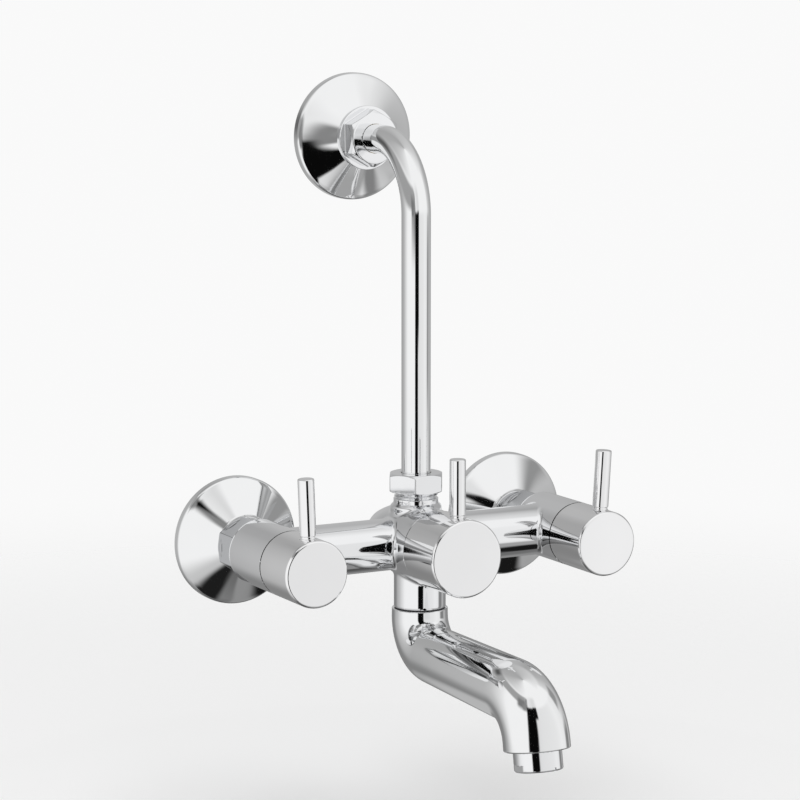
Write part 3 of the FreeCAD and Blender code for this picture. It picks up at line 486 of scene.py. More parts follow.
def housing(points, x):
    along, _, _, out = seen_from(points, (x, 0, 0), FORWARD)
    solid = bar(along, out, HOUSING_BACK, HOUSING_FRONT, HOUSING_RADIUS, 0.08)
    lip = bar(along, out, HOUSING_BACK, HOUSING_FRONT + 10, HOUSING_RADIUS, 1.2)
    return joined(np.maximum(solid, lip), bar(along, out, 44.0, 60.0, 10.6), 0.4)


def chamber(points, x):
    along, _, _, out = seen_from(points, (x, 0, 0), FORWARD)
    hollow = all_of(bar(along, out, SEAT_DEPTH, BONNET_DEPTH + 1, CHAMBER_RADIUS),
                    bar(along, out, BONNET_DEPTH, HOUSING_FRONT + 5, CHAMBER_MOUTH))
    return all_of(hollow, bar(along, out, 40, SEAT_DEPTH + 1, WATER_BORE)) if x else hollow


def casting(points):
    """Two housings, the cross tube, the domed barrel, the riser boss and the spout neck."""
    along, across, upward, out = seen_from(points, (0, 0, 0), FORWARD)
    tube_out = np.hypot(along - AXIS_DEPTH, upward)
    boss_out = np.hypot(across, along - AXIS_DEPTH)
    neck_out = np.hypot(across, along - NECK_DEPTH)
    dome = np.hypot(along - DOME_CENTRE[0], out - DOME_CENTRE[1]) - DOME_RADIUS
    barrel = common(bar(along, out, BARREL_BACK, HOUSING_FRONT, BARREL_RADIUS, 0.08), dome, 2.5)
    barrel = common(barrel, BARREL_BACK - along, 1.2)
    cone = (boss_out - BOSS_RIM + upward - 19.4) * math.sqrt(0.5)
    boss = common(bar(upward, boss_out, 0, BOSS_TOP, BOSS_RADIUS), np.minimum(cone, boss_out - BOSS_RIM), 0.5)
    boss = joined(np.maximum(boss, upward - BOSS_TOP), bar(upward, boss_out, 15, BOSS_END, 9.3), 0.2)
    neck = joined(bar(upward, neck_out, NECK_FOOT, 0, NECK_RADIUS, 0.3),
                  bar(upward, neck_out, -45, -20, 9.4), 0.2)
    solid = bar(across, tube_out, -VALVE_X, VALVE_X, TUBE_RADIUS)
    for branch in (barrel, boss, neck, housing(points, -VALVE_X), housing(points, VALVE_X)):
        solid = joined(solid, branch, FILLET)
    solid = np.maximum(solid, along - HOUSING_FRONT)
    hollow = all_of(chamber(points, -VALVE_X), chamber(points, VALVE_X), chamber(points, 0),
                    bar(across, tube_out, -VALVE_X, VALVE_X, CROSS_BORE),
                    bar(upward, np.hypot(across, along - 66.2), 0, 19, PORT_BORE),
                    bar(upward, boss_out, 18, 40, PIPE_RADIUS + CLEARANCE),
                    bar(upward, np.hypot(across, along - 73.0), -19.5, 0, PORT_BORE),
                    bar(upward, neck_out, -60, -BARREL_RADIUS, 6.3))
    return np.maximum(solid, -hollow)


skinned_piece("tap_body", casting, (-94, -90, -45.5), (94, -36, 31.5), 0.78,
              "base", "body_chrome", "mixer_body")


# --- threads, legs and nuts ---

THREAD_DEPTH = 1.16
LEG_RADIUS = 9.9
LEG_SHANK_END = 35.95
LEG_COLLAR = 10.5
SLEEVE_RADIUS = 8.2
NIPPLE_RADIUS = 10.0
NUT_WIDTH = 24.5
NUT_CHAMFER = 1.4
RISER_NUT_WIDTH = 24.9


def thread(along, across, upward, start=-THREAD_LENGTH, finish=0.8):
    """A right-hand pipe thread with a chamfered start and finish; by default the one in the wall."""
    out = np.hypot(across, upward)
    phase = along / THREAD_PITCH - np.arctan2(upward, across) / (2 * math.pi)
    depth = THREAD_DEPTH * (0.5 - 0.5 * np.cos(2 * math.pi * phase))
    ridges = (out - THREAD_RADIUS + depth) * 0.55
    ends = np.maximum(start - along, along - finish)
    cones = ends + out - THREAD_RADIUS + 1.1
    return np.maximum(np.maximum(ridges, cones * math.sqrt(0.5)), ends)


def leg(points, side):
    """An eccentric leg: wall thread and shank, then a sleeve on the valve's own axis."""
    along, across, upward, out = seen_from(points, (side * INLET_X, 0, 0), FORWARD)
    sleeve_out = np.hypot(across - side * (VALVE_X - INLET_X), upward)
    solid = all_of(thread(along, across, upward), bar(along, out, -2.0, LEG_SHANK_END, LEG_RADIUS, 0.3),
                   bar(along, sleeve_out, 33, 36.3, 7.05),
                   bar(along, sleeve_out, 36.2, 42, SLEEVE_RADIUS, 0.2),
                   bar(along, sleeve_out, 39, 42, LEG_COLLAR, 0.3))
    bores = all_of(bar(along, out, -20, LEG_SHANK_END, WATER_BORE),
                   bar(along, sleeve_out, 33, 50, WATER_BORE))
    return np.maximum(solid, -bores)


def nipple(points):
    along, across, upward, out = seen_from(points, (0, 0, RISER_Z), FORWARD)
    solid = all_of(thread(along, across, upward), bar(along, out, -2.0, 24, NIPPLE_RADIUS, 0.4))
    bores = all_of(bar(along, out, -20, 30, 5.5), bar(along, out, 12, 30, PIPE_RADIUS + CLEARANCE))
    return np.maximum(solid, -bores)


def riser_thread(points):
    along, across, upward, out = seen_from(points, (0, -AXIS_DEPTH, 0), UP)
    return np.maximum(thread(along, across, upward, 21.0, BOSS_END), 8.5 - out)


def hexagon_part(along, across, upward, back, front, width, chamfer):
    """A hexagonal prism whose corners are turned back to a cone at each end."""
    out = np.hypot(across, upward)
    solid = hexagon_distance(across, upward, width)
    solid = common(solid, np.maximum(back - along, along - front), 0.3)
    rise = width / math.sqrt(3) - width / 2 + 0.3
    slant = math.hypot(rise, chamfer)
    for end, sign in ((front, 1), (back, -1)):
        cone = ((along - end) * sign * rise + (out - width / 2 + 0.3) * chamfer) / slant
        solid = common(solid, cone, 0.25)
    return solid


def bored(solid, along, out, bores):
    """A solid with round holes, each told as start, finish and radius."""
    for start, finish, radius in bores:
        solid = without(solid, bar(along, out, start, finish, radius))
    return solid


def union_nut(points, x, z, back, front, ring_radius, bores):
    """A nut with a round ring at its back."""
    along, across, upward, out = seen_from(points, (x, 0, z), FORWARD)
    solid = hexagon_part(along, across, upward, back, front, NUT_WIDTH, NUT_CHAMFER)
    ring = np.maximum(bar(along, out, back, back + 20, ring_radius, NUT_CHAMFER),
                      bar(along, out, back - 9, back + 3.4, ring_radius, 0.3))
    return bored(joined(solid, ring, 0.5), along, out, bores)


def riser_nut(points):
    along, across, upward, out = seen_from(points, (0, -AXIS_DEPTH, 0), UP)
    solid = hexagon_part(along, upward, across, 24.6, 33.9, RISER_NUT_WIDTH, 1.2)
    return bored(solid, along, out, ((15, 32.6, THREAD_RADIUS + CLEARANCE), (30, 40, PIPE_RADIUS + 0.3)))


LEG_NUT_BORES = ((30, 39, SLEEVE_RADIUS + CLEARANCE), (39, 60, LEG_COLLAR + 0.15))
UPPER_NUT_BORES = ((10, 25.6, NIPPLE_RADIUS + CLEARANCE), (20, 30, PIPE_RADIUS + 0.15))
for name, side in (("hot", -1), ("cold", 1)):
    skinned_piece(name + "_inlet_leg", lambda points: leg(points, side), (side * INLET_X - 14, -42, -10.6),
                  (side * INLET_X + 14, 14, 10.6), 0.42, "base", "leg_chrome", name + "_leg")
    x = side * VALVE_X
    # The hot and cold nuts take the darker chrome, which paints the shade of their gap by the flange
    skinned_piece(name + "_inlet_nut",
                  lambda points: union_nut(points, x, 0, 36.2, 54.8, 12.9, LEG_NUT_BORES),
                  (x - 14.2, -54.8, -14.2), (x + 14.2, -36.2, 14.2), 0.34,
                  "base", "nut_chrome", name + "_leg_nut", finish="recessed_nut_chrome")
skinned_piece("wall_nipple", nipple, (-10.6, -24, RISER_Z - 10.6), (10.6, 14, RISER_Z + 10.6), 0.42,
              "base", "leg_chrome", "upper_nipple")
skinned_piece("riser_wall_nut",
              lambda points: union_nut(points, 0, RISER_Z, 15.3, 26.7, 15.6, UPPER_NUT_BORES),
              (-15.7, -26.7, RISER_Z - 15.7), (15.7, -15.3, RISER_Z + 15.7), 0.34,
              "base", "nut_chrome", "upper_nut")
skinned_piece("riser_foot_nut", riser_nut, (-14.5, -AXIS_DEPTH - 14.5, 24.6),
              (14.5, -AXIS_DEPTH + 14.5, 33.9), 0.34, "base", "nut_chrome", "riser_nut")
skinned_piece("riser_boss_thread", riser_thread, (-10.6, -AXIS_DEPTH - 10.6, 21),
              (10.6, -AXIS_DEPTH + 10.6, 31), 0.36, "base", "body_chrome")


# --- cover flanges ---

FLANGE_RADIUS = 31.2
FLANGE_WALL = 1.2
FLANGE_NECK = 13.6
FLANGE_RIM = 4.5


# Outline of a cover flange: rolled rim, a bell that is nearly a straight cone, and a short neck
lip = (5.4, FLANGE_RADIUS - 1.8)
neck = (FLANGE_DEPTH - 1.6, FLANGE_NECK)
inner_neck = (neck[0] - FLANGE_WALL, FLANGE_NECK - FLANGE_WALL)
inner_rim = (3.6, lip[1] - FLANGE_WALL)
bore = THREAD_RADIUS + 0.3
flange_outline = [
    (0, FLANGE_RADIUS - FLANGE_WALL, 0.3), (0, FLANGE_RADIUS, 0.5), (FLANGE_RIM, FLANGE_RADIUS, 1.75),
    (*lip, 0), *arc_points(lip, neck, -0.2, 24), (*neck, 0),
    (FLANGE_DEPTH, FLANGE_NECK - 0.4, 0.35), (FLANGE_DEPTH, bore, 0.2), (inner_neck[0], bore, 0.2),
    (*inner_neck, 0), *arc_points(inner_neck, inner_rim, 0.4, 24), (*inner_rim, 0)]
for name, body_name, place in (("hot", "hot_flange", (-INLET_X, -FLANGE_STAND_OFF, 0)),
                               ("cold", "cold_flange", (INLET_X, -FLANGE_STAND_OFF, 0)),
                               ("upper", "base", (0, 0, RISER_Z))):
    piece = lathe(name + "_cover_flange", flange_outline, place, FORWARD, "flange_chrome", columns=256)
    finish_piece(piece, body_name, "flange_chrome", name + "_wall_flange")


# --- knobs, levers and grub screws ---

KNOB_BACK = 90.3
KNOB_WALL = 1.9
LEVER_DEPTH = 109.4
LEVER_RADIUS = 3.85
LEVER_ROOT = 5.5
GRUB_DEPTH = 103.0
GRUB_RADIUS = 2.5
SOCKET_RADIUS = 3.95
SOCKET_END = 112.8
PRESS_GAP = 0.02


def knob(points, x, directions, radius, face):
    """A turned knob with an eased front edge, a hollow back and holes for its pin and screw."""
    along, across, upward, out = seen_from(points, (x, 0, 0), directions)
    solid = np.maximum(bar(along, out, KNOB_BACK - 20, face, radius, 1.3),
                       bar(along, out, KNOB_BACK, face + 9, radius, 0.1))
    hollow = all_of(bar(along, out, 80, 100, radius - KNOB_WALL),
                    bar(along, out, 80, SOCKET_END, SOCKET_RADIUS))
    lever_hole = bar(upward, np.hypot(across, along - LEVER_DEPTH), LEVER_ROOT - PRESS_GAP, 40,
                     LEVER_RADIUS + PRESS_GAP)
    grub_hole = bar(-upward, np.hypot(across, along - GRUB_DEPTH), SOCKET_RADIUS, 40, GRUB_RADIUS + PRESS_GAP)
    return without(without(without(solid, hollow), lever_hole, 0.3), grub_hole, 0.3)


def socket_screw(points, origin, directions, start, length, radius, key_width, key_depth):
    """A headless screw with a hexagonal socket in its outer end."""
    along, across, upward, out = seen_from(points, origin, directions)
    solid = bar(along, out, start, start + length, radius, 0.2)
    key = np.maximum(hexagon_distance(across, upward, key_width, 0.1), start + length - key_depth - along)
    return without(solid, key, 0.08)


def lever_outline(radius, reach):
    """A pin: its root in the knob, an undercut at the knob's surface, and a flat eased end."""
    top = radius + reach
    waist = LEVER_RADIUS - 0.4
    surface = radius - PRESS_GAP
    return [(LEVER_ROOT, 0, 0), (LEVER_ROOT, LEVER_RADIUS, 0.3), (surface, LEVER_RADIUS, 0.1),
            (surface, waist, 0.1), (radius + 1.0, waist, 0.1), (radius + 1.4, LEVER_RADIUS, 0.15),
            (top, LEVER_RADIUS, 0.6), (top, 0, 0)]


# Side, place, lean, knob radius, depth of the knob's face, and the lever's reach past the knob
HANDLES = (("hot", -VALVE_X, HOT_LEAN, HOUSING_RADIUS, 117.7, 27.7),
           ("cold", VALVE_X, COLD_LEAN, HOUSING_RADIUS, 117.7, 28.7),
           ("diverter", 0, 0, BARREL_RADIUS, 119.0, 27.7))
for name, x, lean, radius, face, reach in HANDLES:
    handle = name + "_handle"
    forward, down = turned(FORWARD, lean), turned(DOWN, lean)
    skinned_piece(name + "_turning_knob", lambda points: knob(points, x, forward, radius, face),
                  (x - radius, -face, -radius), (x + radius, -KNOB_BACK, radius), 0.46,
                  handle, "handle_chrome", name + "_knob")
    lever = lathe(name + "_pin_lever", lever_outline(radius, reach), (x, -LEVER_DEPTH, 0), turned(UP, lean),
                  "handle_chrome", closed=False, columns=96)
    finish_piece(lever, handle, "handle_chrome", name + "_lever")
    origin = (x, -GRUB_DEPTH, 0)
    middle = np.array(origin) + 7.0 * np.array(down[0])
    skinned_piece(name + "_knob_screw",
                  lambda points: socket_screw(points, origin, down, 4.0, 6.0, GRUB_RADIUS, 2.5, 2.5),
                  middle - 3.6, middle + 3.6, 0.15, handle, "screw_steel", name + "_grub_screw")


# --- Geometry Nodes ---

def new_shape_tree(name, **sockets):
    """A tree with named inputs, told as name and kind, and the outputs of its input node."""
    tree = bpy.data.node_groups.new(name, "GeometryNodeTree")
    for label, kind in sockets.items():
        tree.interface.new_socket(label.replace("_", " "), in_out="INPUT", socket_type="NodeSocket" + kind)
    tree.interface.new_socket("Shape", in_out="OUTPUT", socket_type="NodeSocketGeometry")
    return tree, add_node(tree, "NodeGroupInput").outputs


def end_shape_tree(tree, shape, finish):
    """Makes copies real, sets the material and hands out the shape."""
    real = add_node(tree, "GeometryNodeRealizeInstances", {0: shape})
    coat = add_node(tree, "GeometryNodeSetMaterial", {"Geometry": real, "Material": finish})
    add_node(tree, "NodeGroupOutput", {"Shape": coat})
    return tree


def bending_tree():
    """Bends a straight turned tube, which stands on the Z axis, along the rounded route."""
    tree, given = new_shape_tree("bend_along_route", Tube="Geometry", Route="Object", First_bend="Float",
                                 Last_bend="Float", Finish="Material")

    def vector(operation, inputs):
        return add_node(tree, "ShaderNodeVectorMath", inputs, operation=operation).outputs[0]

    route = add_node(tree, "GeometryNodeObjectInfo", {"Object": given["Route"]})
    index = add_node(tree, "GeometryNodeInputIndex")
    first = add_node(tree, "FunctionNodeCompare", {2: index, 3: 1},
                     data_type="INT", operation="LESS_EQUAL")
    bend = add_node(tree, "GeometryNodeSwitch", {
        "Switch": first, "False": given["Last bend"], "True": given["First bend"]}, input_type="FLOAT")
    eased = add_node(tree, "GeometryNodeFilletCurve", {
        "Curve": route.outputs["Geometry"], "Radius": bend, "Count": 96}, mode="POLY")
    place = add_node(tree, "GeometryNodeInputPosition")
    parts = add_node(tree, "ShaderNodeSeparateXYZ", {0: place})
    sample = add_node(tree, "GeometryNodeSampleCurve", {
        "Curves": eased, "Length": parts.outputs["Z"]}, mode="LENGTH")
    side = add_node(tree, "ShaderNodeCombineXYZ", {"X": parts.outputs["X"]})
    normal = vector("CROSS_PRODUCT", {0: sample.outputs["Tangent"], 1: (1, 0, 0)})
    stand = vector("SCALE", {0: normal, "Scale": parts.outputs["Y"]})
    total = vector("ADD", {0: sample.outputs["Position"], 1: side})
    target = vector("ADD", {0: total, 1: stand})
    move = add_node(tree, "GeometryNodeSetPosition", {"Geometry": given["Tube"], "Position": target})
    return end_shape_tree(tree, move, given["Finish"])


def perforating_tree():
    """A disc with two circles of round holes."""
    tree, given = new_shape_tree(
        "perforated_disc", Start="Geometry", Radius="Float", Thickness="Float", Inner_circle="Float",
        Outer_circle="Float", Hole_radius="Float", Inner_holes="Int", Outer_holes="Int", Finish="Material")
    disc = add_node(tree, "GeometryNodeMeshCylinder", {
        "Vertices": 144, "Radius": given["Radius"], "Depth": given["Thickness"]})
    pin = add_node(tree, "GeometryNodeMeshCylinder", {
        "Vertices": 24, "Radius": given["Hole radius"], "Depth": 0.03})
    pins = add_node(tree, "GeometryNodeJoinGeometry")
    for name in ("Inner", "Outer"):
        circle = add_node(tree, "GeometryNodeMeshCircle", {
            "Vertices": given[name + " holes"], "Radius": given[name + " circle"]})
        copies = add_node(tree, "GeometryNodeInstanceOnPoints", {
            "Points": circle, "Instance": pin})
        tree.links.new(copies.outputs[0], pins.inputs[0])
    whole = add_node(tree, "GeometryNodeRealizeInstances", {0: pins})
    cut = add_node(tree, "GeometryNodeMeshBoolean", {0: disc, 1: whole},
                   operation="DIFFERENCE", solver="EXACT")
    return end_shape_tree(tree, cut, given["Finish"])


def settle(piece, modifier):
    """Turns a piece and its modifier into a plain mesh."""
    bpy.context.view_layer.update()
    graph = bpy.context.evaluated_depsgraph_get()
    mesh, old = bpy.data.meshes.new_from_object(piece.evaluated_get(graph), depsgraph=graph), piece.data
    piece.modifiers.remove(modifier)
    piece.data = mesh
    bpy.data.meshes.remove(old)


def shape_with(piece, tree, values):
    """Runs a tree on a piece with its named inputs, and keeps the result as a plain mesh."""
    modifier = piece.modifiers.new("shape", "NODES")
    modifier.node_group = tree
    for item in tree.interface.items_tree:
        if item.name in values:
            modifier[item.identifier] = values[item.name]
    settle(piece, modifier)


def carve(piece, tool):
    """Cuts a tool's shape out of a piece."""
    modifier = piece.modifiers.new("cut", "BOOLEAN")
    modifier.operation = "DIFFERENCE"
    modifier.solver = "EXACT"
    modifier.object = tool
    settle(piece, modifier)
    bpy.data.objects.remove(tool)


def sharpen(piece, angle):
    piece.data.shade_smooth()
    piece.data.set_sharp_from_angle(angle=math.radians(angle))


# --- spout and riser pipe, bent along their routes ---

SPOUT_TOP = -31.4
SPOUT_REACH = 111.49
SPOUT_HEAD = 35.0
SPOUT_ARM = 71.3
SPOUT_TAIL = 3.4
MOUTH_DROP = 75.96
MOUTH = (0, -NECK_DEPTH - SPOUT_REACH, -MOUTH_DROP)
MOUTH_TILT = math.radians(10.1)
SPOUT_SLOPE = math.radians(0.9)
SPOUT_RADII = (13.5, 15.4)
SPOUT_BORES = (9.0, 10.15)
MOUTH_BORE = 10.65
MOUTH_SEAT = 8.7
SPIGOT_RADIUS = 9.45
FIRST_BEND = 17.2
LAST_BEND = 23.4
SCREW_HEIGHT = -38.9
PIPE_FOOT = 20.0
PIPE_END = -12.6
PIPE_CREASE = 32


def bent_pipe(name, outline, corners, bends, columns):
    """A straight turned tube bent along the rounded route through the corners (y, z)."""
    piece = lathe(name, outline, (0, 0, 0), UP, "pipe_chrome", columns=columns)
    curve = bpy.data.curves.new(name + "_route", "CURVE")
    curve.dimensions = "3D"
    spline = curve.splines.new("POLY")
    spline.points.add(len(corners) - 1)
    for point, (y, z) in zip(spline.points, corners):
        point.co = (0, y * MM, z * MM, 1)
    route = add_object(name + "_route", curve)
    shape_with(piece, pipe_bender, {"Route": route, "First bend": bends[0] * MM, "Last bend": bends[1] * MM,
                                    "Finish": materials["pipe_chrome"]})
    bpy.data.objects.remove(route)
    return piece


pipe_bender = bending_tree()
first_turn = math.pi / 2 - SPOUT_SLOPE
last_turn = first_turn - MOUTH_TILT
first_tangent = FIRST_BEND * math.tan(first_turn / 2)
arm = first_tangent + SPOUT_ARM + LAST_BEND * math.tan(last_turn / 2)
elbow = (-NECK_DEPTH, -SPOUT_HEAD - first_tangent)
knee = (elbow[0] - arm * math.cos(SPOUT_SLOPE), elbow[1] - arm * math.sin(SPOUT_SLOPE))
bends_length = FIRST_BEND * first_turn + LAST_BEND * last_turn
spout_end = SPOUT_HEAD + SPOUT_TOP + SPOUT_ARM + SPOUT_TAIL + bends_length
shoulder = spout_end - MOUTH_SEAT
spout_outline = [
    (0, SPOUT_BORES[0], 0), (0, SPOUT_RADII[0], 0.5), *along_wall(0.8, spout_end - 1.3, SPOUT_RADII, 0.7),
    (spout_end, SPOUT_RADII[1], 0.8), (spout_end, MOUTH_BORE, 0.3), (shoulder, MOUTH_BORE, 0.2),
    (shoulder, SPOUT_BORES[1], 0.2), *along_wall(shoulder - 0.4, 0, SPOUT_BORES[::-1], 1.4)]
spout = bent_pipe("swivel_pipe", spout_outline, [(-NECK_DEPTH, SPOUT_TOP), elbow, knee, MOUTH[1:]],
                  (FIRST_BEND, LAST_BEND), 144)
# The cutting tools are rolled a little, so that no edge of theirs falls on an edge of the pipe
for name, start, finish, radius, height, directions, columns in (
        ("socket_tool", -5, 14.2, SPIGOT_RADIUS, SPOUT_TOP, rolled(DOWN, 1.25), 144),
        ("screw_tool", 8.5, 20, 2.02, SCREW_HEIGHT, rolled(BACKWARD, 3.1), 48)):
    outline = [(start, 0, 0), (start, radius, 0), (finish, radius, 0), (finish, 0, 0)]
    carve(spout, lathe(name, outline, (0, -NECK_DEPTH, height), directions, "pipe_chrome", closed=False,
                       columns=columns))
sharpen(spout, PIPE_CREASE)
finish_piece(spout, "swivel_spout", "pipe_chrome", "spout")

pipe_length = RISER_Z - PIPE_FOOT + AXIS_DEPTH + PIPE_END - PIPE_BEND * (2 - math.pi / 2)
pipe_bore = PIPE_RADIUS - PIPE_WALL
pipe_outline = [
    (0, pipe_bore, 0.2), (0, PIPE_RADIUS, 0.2),
    *along_wall(0.6, pipe_length - 0.6, (PIPE_RADIUS, PIPE_RADIUS), 0.9),
    (pipe_length, PIPE_RADIUS, 0.2), (pipe_length, pipe_bore, 0.2),
    *along_wall(pipe_length - 0.6, 0.6, (pipe_bore, pipe_bore), 2.0)]
riser = bent_pipe("riser_tube", pipe_outline,
                  [(-AXIS_DEPTH, PIPE_FOOT), (-AXIS_DEPTH, RISER_Z), (PIPE_END, RISER_Z)],
                  (PIPE_BEND, PIPE_BEND), 112)
sharpen(riser, PIPE_CREASE)
finish_piece(riser, "base", "pipe_chrome", "riser_pipe")

screw_place = (0, -NECK_DEPTH, SCREW_HEIGHT)
skinned_piece("spout_fixing_screw",
              lambda points: socket_screw(points, screw_place, BACKWARD, 8.5, 3.9, 2.0, 2.0, 1.2),
              (-2.1, -NECK_DEPTH + 8.4, SCREW_HEIGHT - 2.1), (2.1, -NECK_DEPTH + 12.5, SCREW_HEIGHT + 2.1),
              0.13, "swivel_spout", "screw_steel", "spout_set_screw")
slip_top, slip_foot = -NECK_FOOT, -NECK_FOOT + 0.55
slip_outline = [(slip_top, 9.5, 0.1), (slip_top, 12.2, 0.15), (slip_foot, 12.2, 0.15), (slip_foot, 9.5, 0.1)]
piece = lathe("swivel_slip_ring", slip_outline, (0, -NECK_DEPTH, 0), DOWN, "slip_plastic")
finish_piece(piece, "base", "slip_plastic", "spout_slip_ring")


# --- aerator ---

AERATOR_RADIUS = 11.2
AERATOR_THREAD = 10.6
AERATOR_SKIRT = 9.4
AERATOR_BORE = 9.0
AERATOR_FLATS = 10.45
FLAT_LENGTH = 3.2
INSERT_LENGTH = 9.0
OUT_OF_MOUTH = ((0, -math.sin(MOUTH_TILT), -math.cos(MOUTH_TILT)), (1, 0, 0),
                (0, -math.cos(MOUTH_TILT), math.sin(MOUTH_TILT)))


def aerator_ring(points):
    """The threaded ring with two spanner flats and a small notch in its rim."""
    along, across, upward, out = seen_from(points, MOUTH, OUT_OF_MOUTH)
    skirt = np.maximum(bar(along, out, -9, AERATOR_SKIRT, AERATOR_RADIUS, 1.0),
                       bar(along, out, 0.3, 30, AERATOR_RADIUS, 0.2))
    solid = all_of(bar(along, out, -7.5, 0.5, AERATOR_THREAD), skirt)
    beside_flats = np.maximum(AERATOR_FLATS - np.abs(across), AERATOR_SKIRT - FLAT_LENGTH - along)
    bore = all_of(bar(along, out, -20, AERATOR_SKIRT - 1.0, AERATOR_BORE),
                  bar(along, out, -20, 30, AERATOR_BORE - 1.0))
    solid = without(without(solid, beside_flats, 0.2), bore, 0.25)
    facing = math.radians(77)
    toward = across * math.cos(facing) + upward * math.sin(facing)
    aside = np.abs(across * math.sin(facing) - upward * math.cos(facing))
    notch = np.maximum(np.maximum(aside - 0.39, 5 - toward), AERATOR_SKIRT - 1.6 - along)
    return without(solid, notch, 0.1)


low = np.array(MOUTH) + 9.6 * np.array(OUT_OF_MOUTH[0]) - (11.4, 11.4, 2.2)
high = np.array(MOUTH) - 7.6 * np.array(OUT_OF_MOUTH[0]) + (11.4, 11.4, 2.2)
skinned_piece("aerator_ring", aerator_ring, low, high, 0.36,
              "swivel_spout", "aerator_chrome", "aerator_housing")

insert = add_object("aerator_perforated_disc", bpy.data.meshes.new("aerator_perforated_disc"))
shape_with(insert, perforating_tree(), {
    "Radius": (AERATOR_BORE - CLEARANCE) * MM, "Thickness": INSERT_LENGTH * MM, "Inner circle": 3.0 * MM,
    "Outer circle": 6.4 * MM, "Hole radius": 0.9 * MM, "Inner holes": 6, "Outer holes": 12,
    "Finish": materials["aerator_plastic"]})
axis, across, upward = OUT_OF_MOUTH
turn = Matrix([(across[row], upward[row], axis[row]) for row in range(3)]).to_4x4()
insert_middle = AERATOR_SKIRT - 1.0 - CLEARANCE - INSERT_LENGTH / 2
insert.data.transform(Matrix.Translation((Vector(MOUTH) + Vector(axis) * insert_middle) * MM) @ turn)
sharpen(insert, 40)
finish_piece(insert, "swivel_spout", "aerator_plastic", "aerator_insert")


# --- the pieces that keep their CAD shape ---

VALVES = ("hot_", "cold_")
HEADS = ("hot_", "cold_", "diverter_")
# Finish, the sides that have such pieces, and the pieces' names
KEPT = (("cartridge_brass", HEADS, ("cartridge_body",)), ("spindle_brass", HEADS, ("spindle",)),
        ("spindle_brass", ("",), ("diverter_rotor", "riser_olive", "upper_olive")),
        ("screw_steel", HEADS, ("circlip",)), ("disc_ceramic", VALVES, ("fixed_disc", "moving_disc")),
        ("seal_rubber", HEADS, ("stem_ring",)), ("seal_rubber", VALVES, ("seat_seal",)),
        ("seal_rubber", ("",), ("spout_seal_rings", "aerator_washer")),
        ("washer_fibre", VALVES, ("leg_washer",)), ("washer_fibre", HEADS, ("bonnet_seal",)))
for finish, sides, names in KEPT:
    for side, name in product(sides, names):
        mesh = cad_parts[side + name].data
        mesh.materials.clear()
        mesh.materials.append(materials[finish])


# --- stage, light and camera ---

CAMERA_PLACE = Vector((-668.2, -1303.9, 274.6)) * MM
CAMERA_TARGET = Vector((23.11, -8.70, 59.61)) * MM
CAMERA_AZIMUTH = 28.09
PHOTO_WIDTH = 800
FOCAL_PIXELS = 2962.8
SENSOR = 36
FLOOR_HEIGHT = -0.15
FLOOR_RINGS = (0.0005, 0.2, 0.45, 0.8, 1.2, 1.6)
TENT_RADIUS = 0.28
TENT_FOOT = -0.9
TENT_TOP = 0.75
TENT_MIDDLE = (0, -0.072, 0.02)


def round_sheet(name, rings, columns, material):
    """A round sheet or wall, given as (radius, height) rings from its underside up."""
    turns = [2 * math.pi * column / columns for column in range(columns)]
    points = [(radius * math.cos(turn), radius * math.sin(turn), height)
              for radius, height in rings for turn in turns]
    sheet = add_mesh(name, points, ring_faces(len(rings), columns, False), material)
    sheet.data.shade_flat()
    return sheet


def lay_floor():
    """A pale round floor that fades into the pale background."""
    material, tree, shader, output, place = new_material("floor_paint", 0.0)
    shader.inputs["Base Color"].default_value = grey(0.93)
    shader.inputs["Roughness"].default_value = 0.9
    length = add_node(tree, "ShaderNodeVectorMath", {0: place}, operation="LENGTH")
    clear = add_node(tree, "ShaderNodeBsdfTransparent")
    mix = add_node(tree, "ShaderNodeMixShader", {
        0: ramped(tree, length.outputs["Value"], 0.25, 0.95), 1: shader.outputs["BSDF"], 2: clear})
    tree.links.new(mix.outputs[0], output.inputs["Surface"])
    floor = round_sheet("floor", [(radius, FLOOR_HEIGHT) for radius in FLOOR_RINGS], 96, material)
    floor.visible_glossy = False


def glow_of(shown):
    """The strength of light that looks as bright as a share of white."""
    return ((shown + 0.055) / 1.055) ** 2.4


def between(tree, value, low, high, soft):
    """1 between low and high, 0 outside, with soft edges."""
    rising = ramped(tree, value, low - soft, low + soft)
    return worked(tree, "MULTIPLY", rising, ramped(tree, value, high - soft, high + soft, 1, 0))


def around_wall(tree, turn, stops):
    """Brightness round the tent: (degrees from the camera, brightness as it looks) stops."""
    share = worked(tree, "MULTIPLY_ADD", turn, 1 / 360, 0.5)
    node = add_node(tree, "ShaderNodeValToRGB", {"Fac": share})
    elements = node.color_ramp.elements
    elements.remove(elements[-1])
    for index, (degrees, shown) in enumerate(stops):
        element = elements.new((degrees + 180) / 360) if index else elements[0]
        element.position = (degrees + 180) / 360
        element.color = grey(glow_of(shown))
    return node.outputs["Color"]


def laid_over(tree, level, mask, patch):
    """The level with a patch of another brightness laid over it where the mask is 1."""
    inputs = {"Factor": mask, "A": level, "B": patch}
    return add_node(tree, "ShaderNodeMix", inputs, data_type="FLOAT").outputs["Result"]


WALL = ((-180, 0.74), (-160, 0.74), (-140, 0.67), (-125, 0.68), (-110, 0.74), (-100, 0.79), (-90, 0.87),
        (-80, 0.93), (-70, 0.99), (-60, 1.0), (-12, 1.0), (12, 0.9), (24, 0.93), (55, 0.95), (70, 0.98),
        (90, 0.95), (100, 0.87), (110, 0.81), (122, 0.73), (135, 0.70), (150, 0.67), (165, 0.72),
        (180, 0.74))
ROOF = ((-180, 0.77), (-140, 0.68), (-110, 0.7), (-80, 0.8), (-40, 0.93), (-10, 1.0), (70, 1.0), (100, 0.93),
        (130, 0.84), (160, 0.79), (180, 0.77))
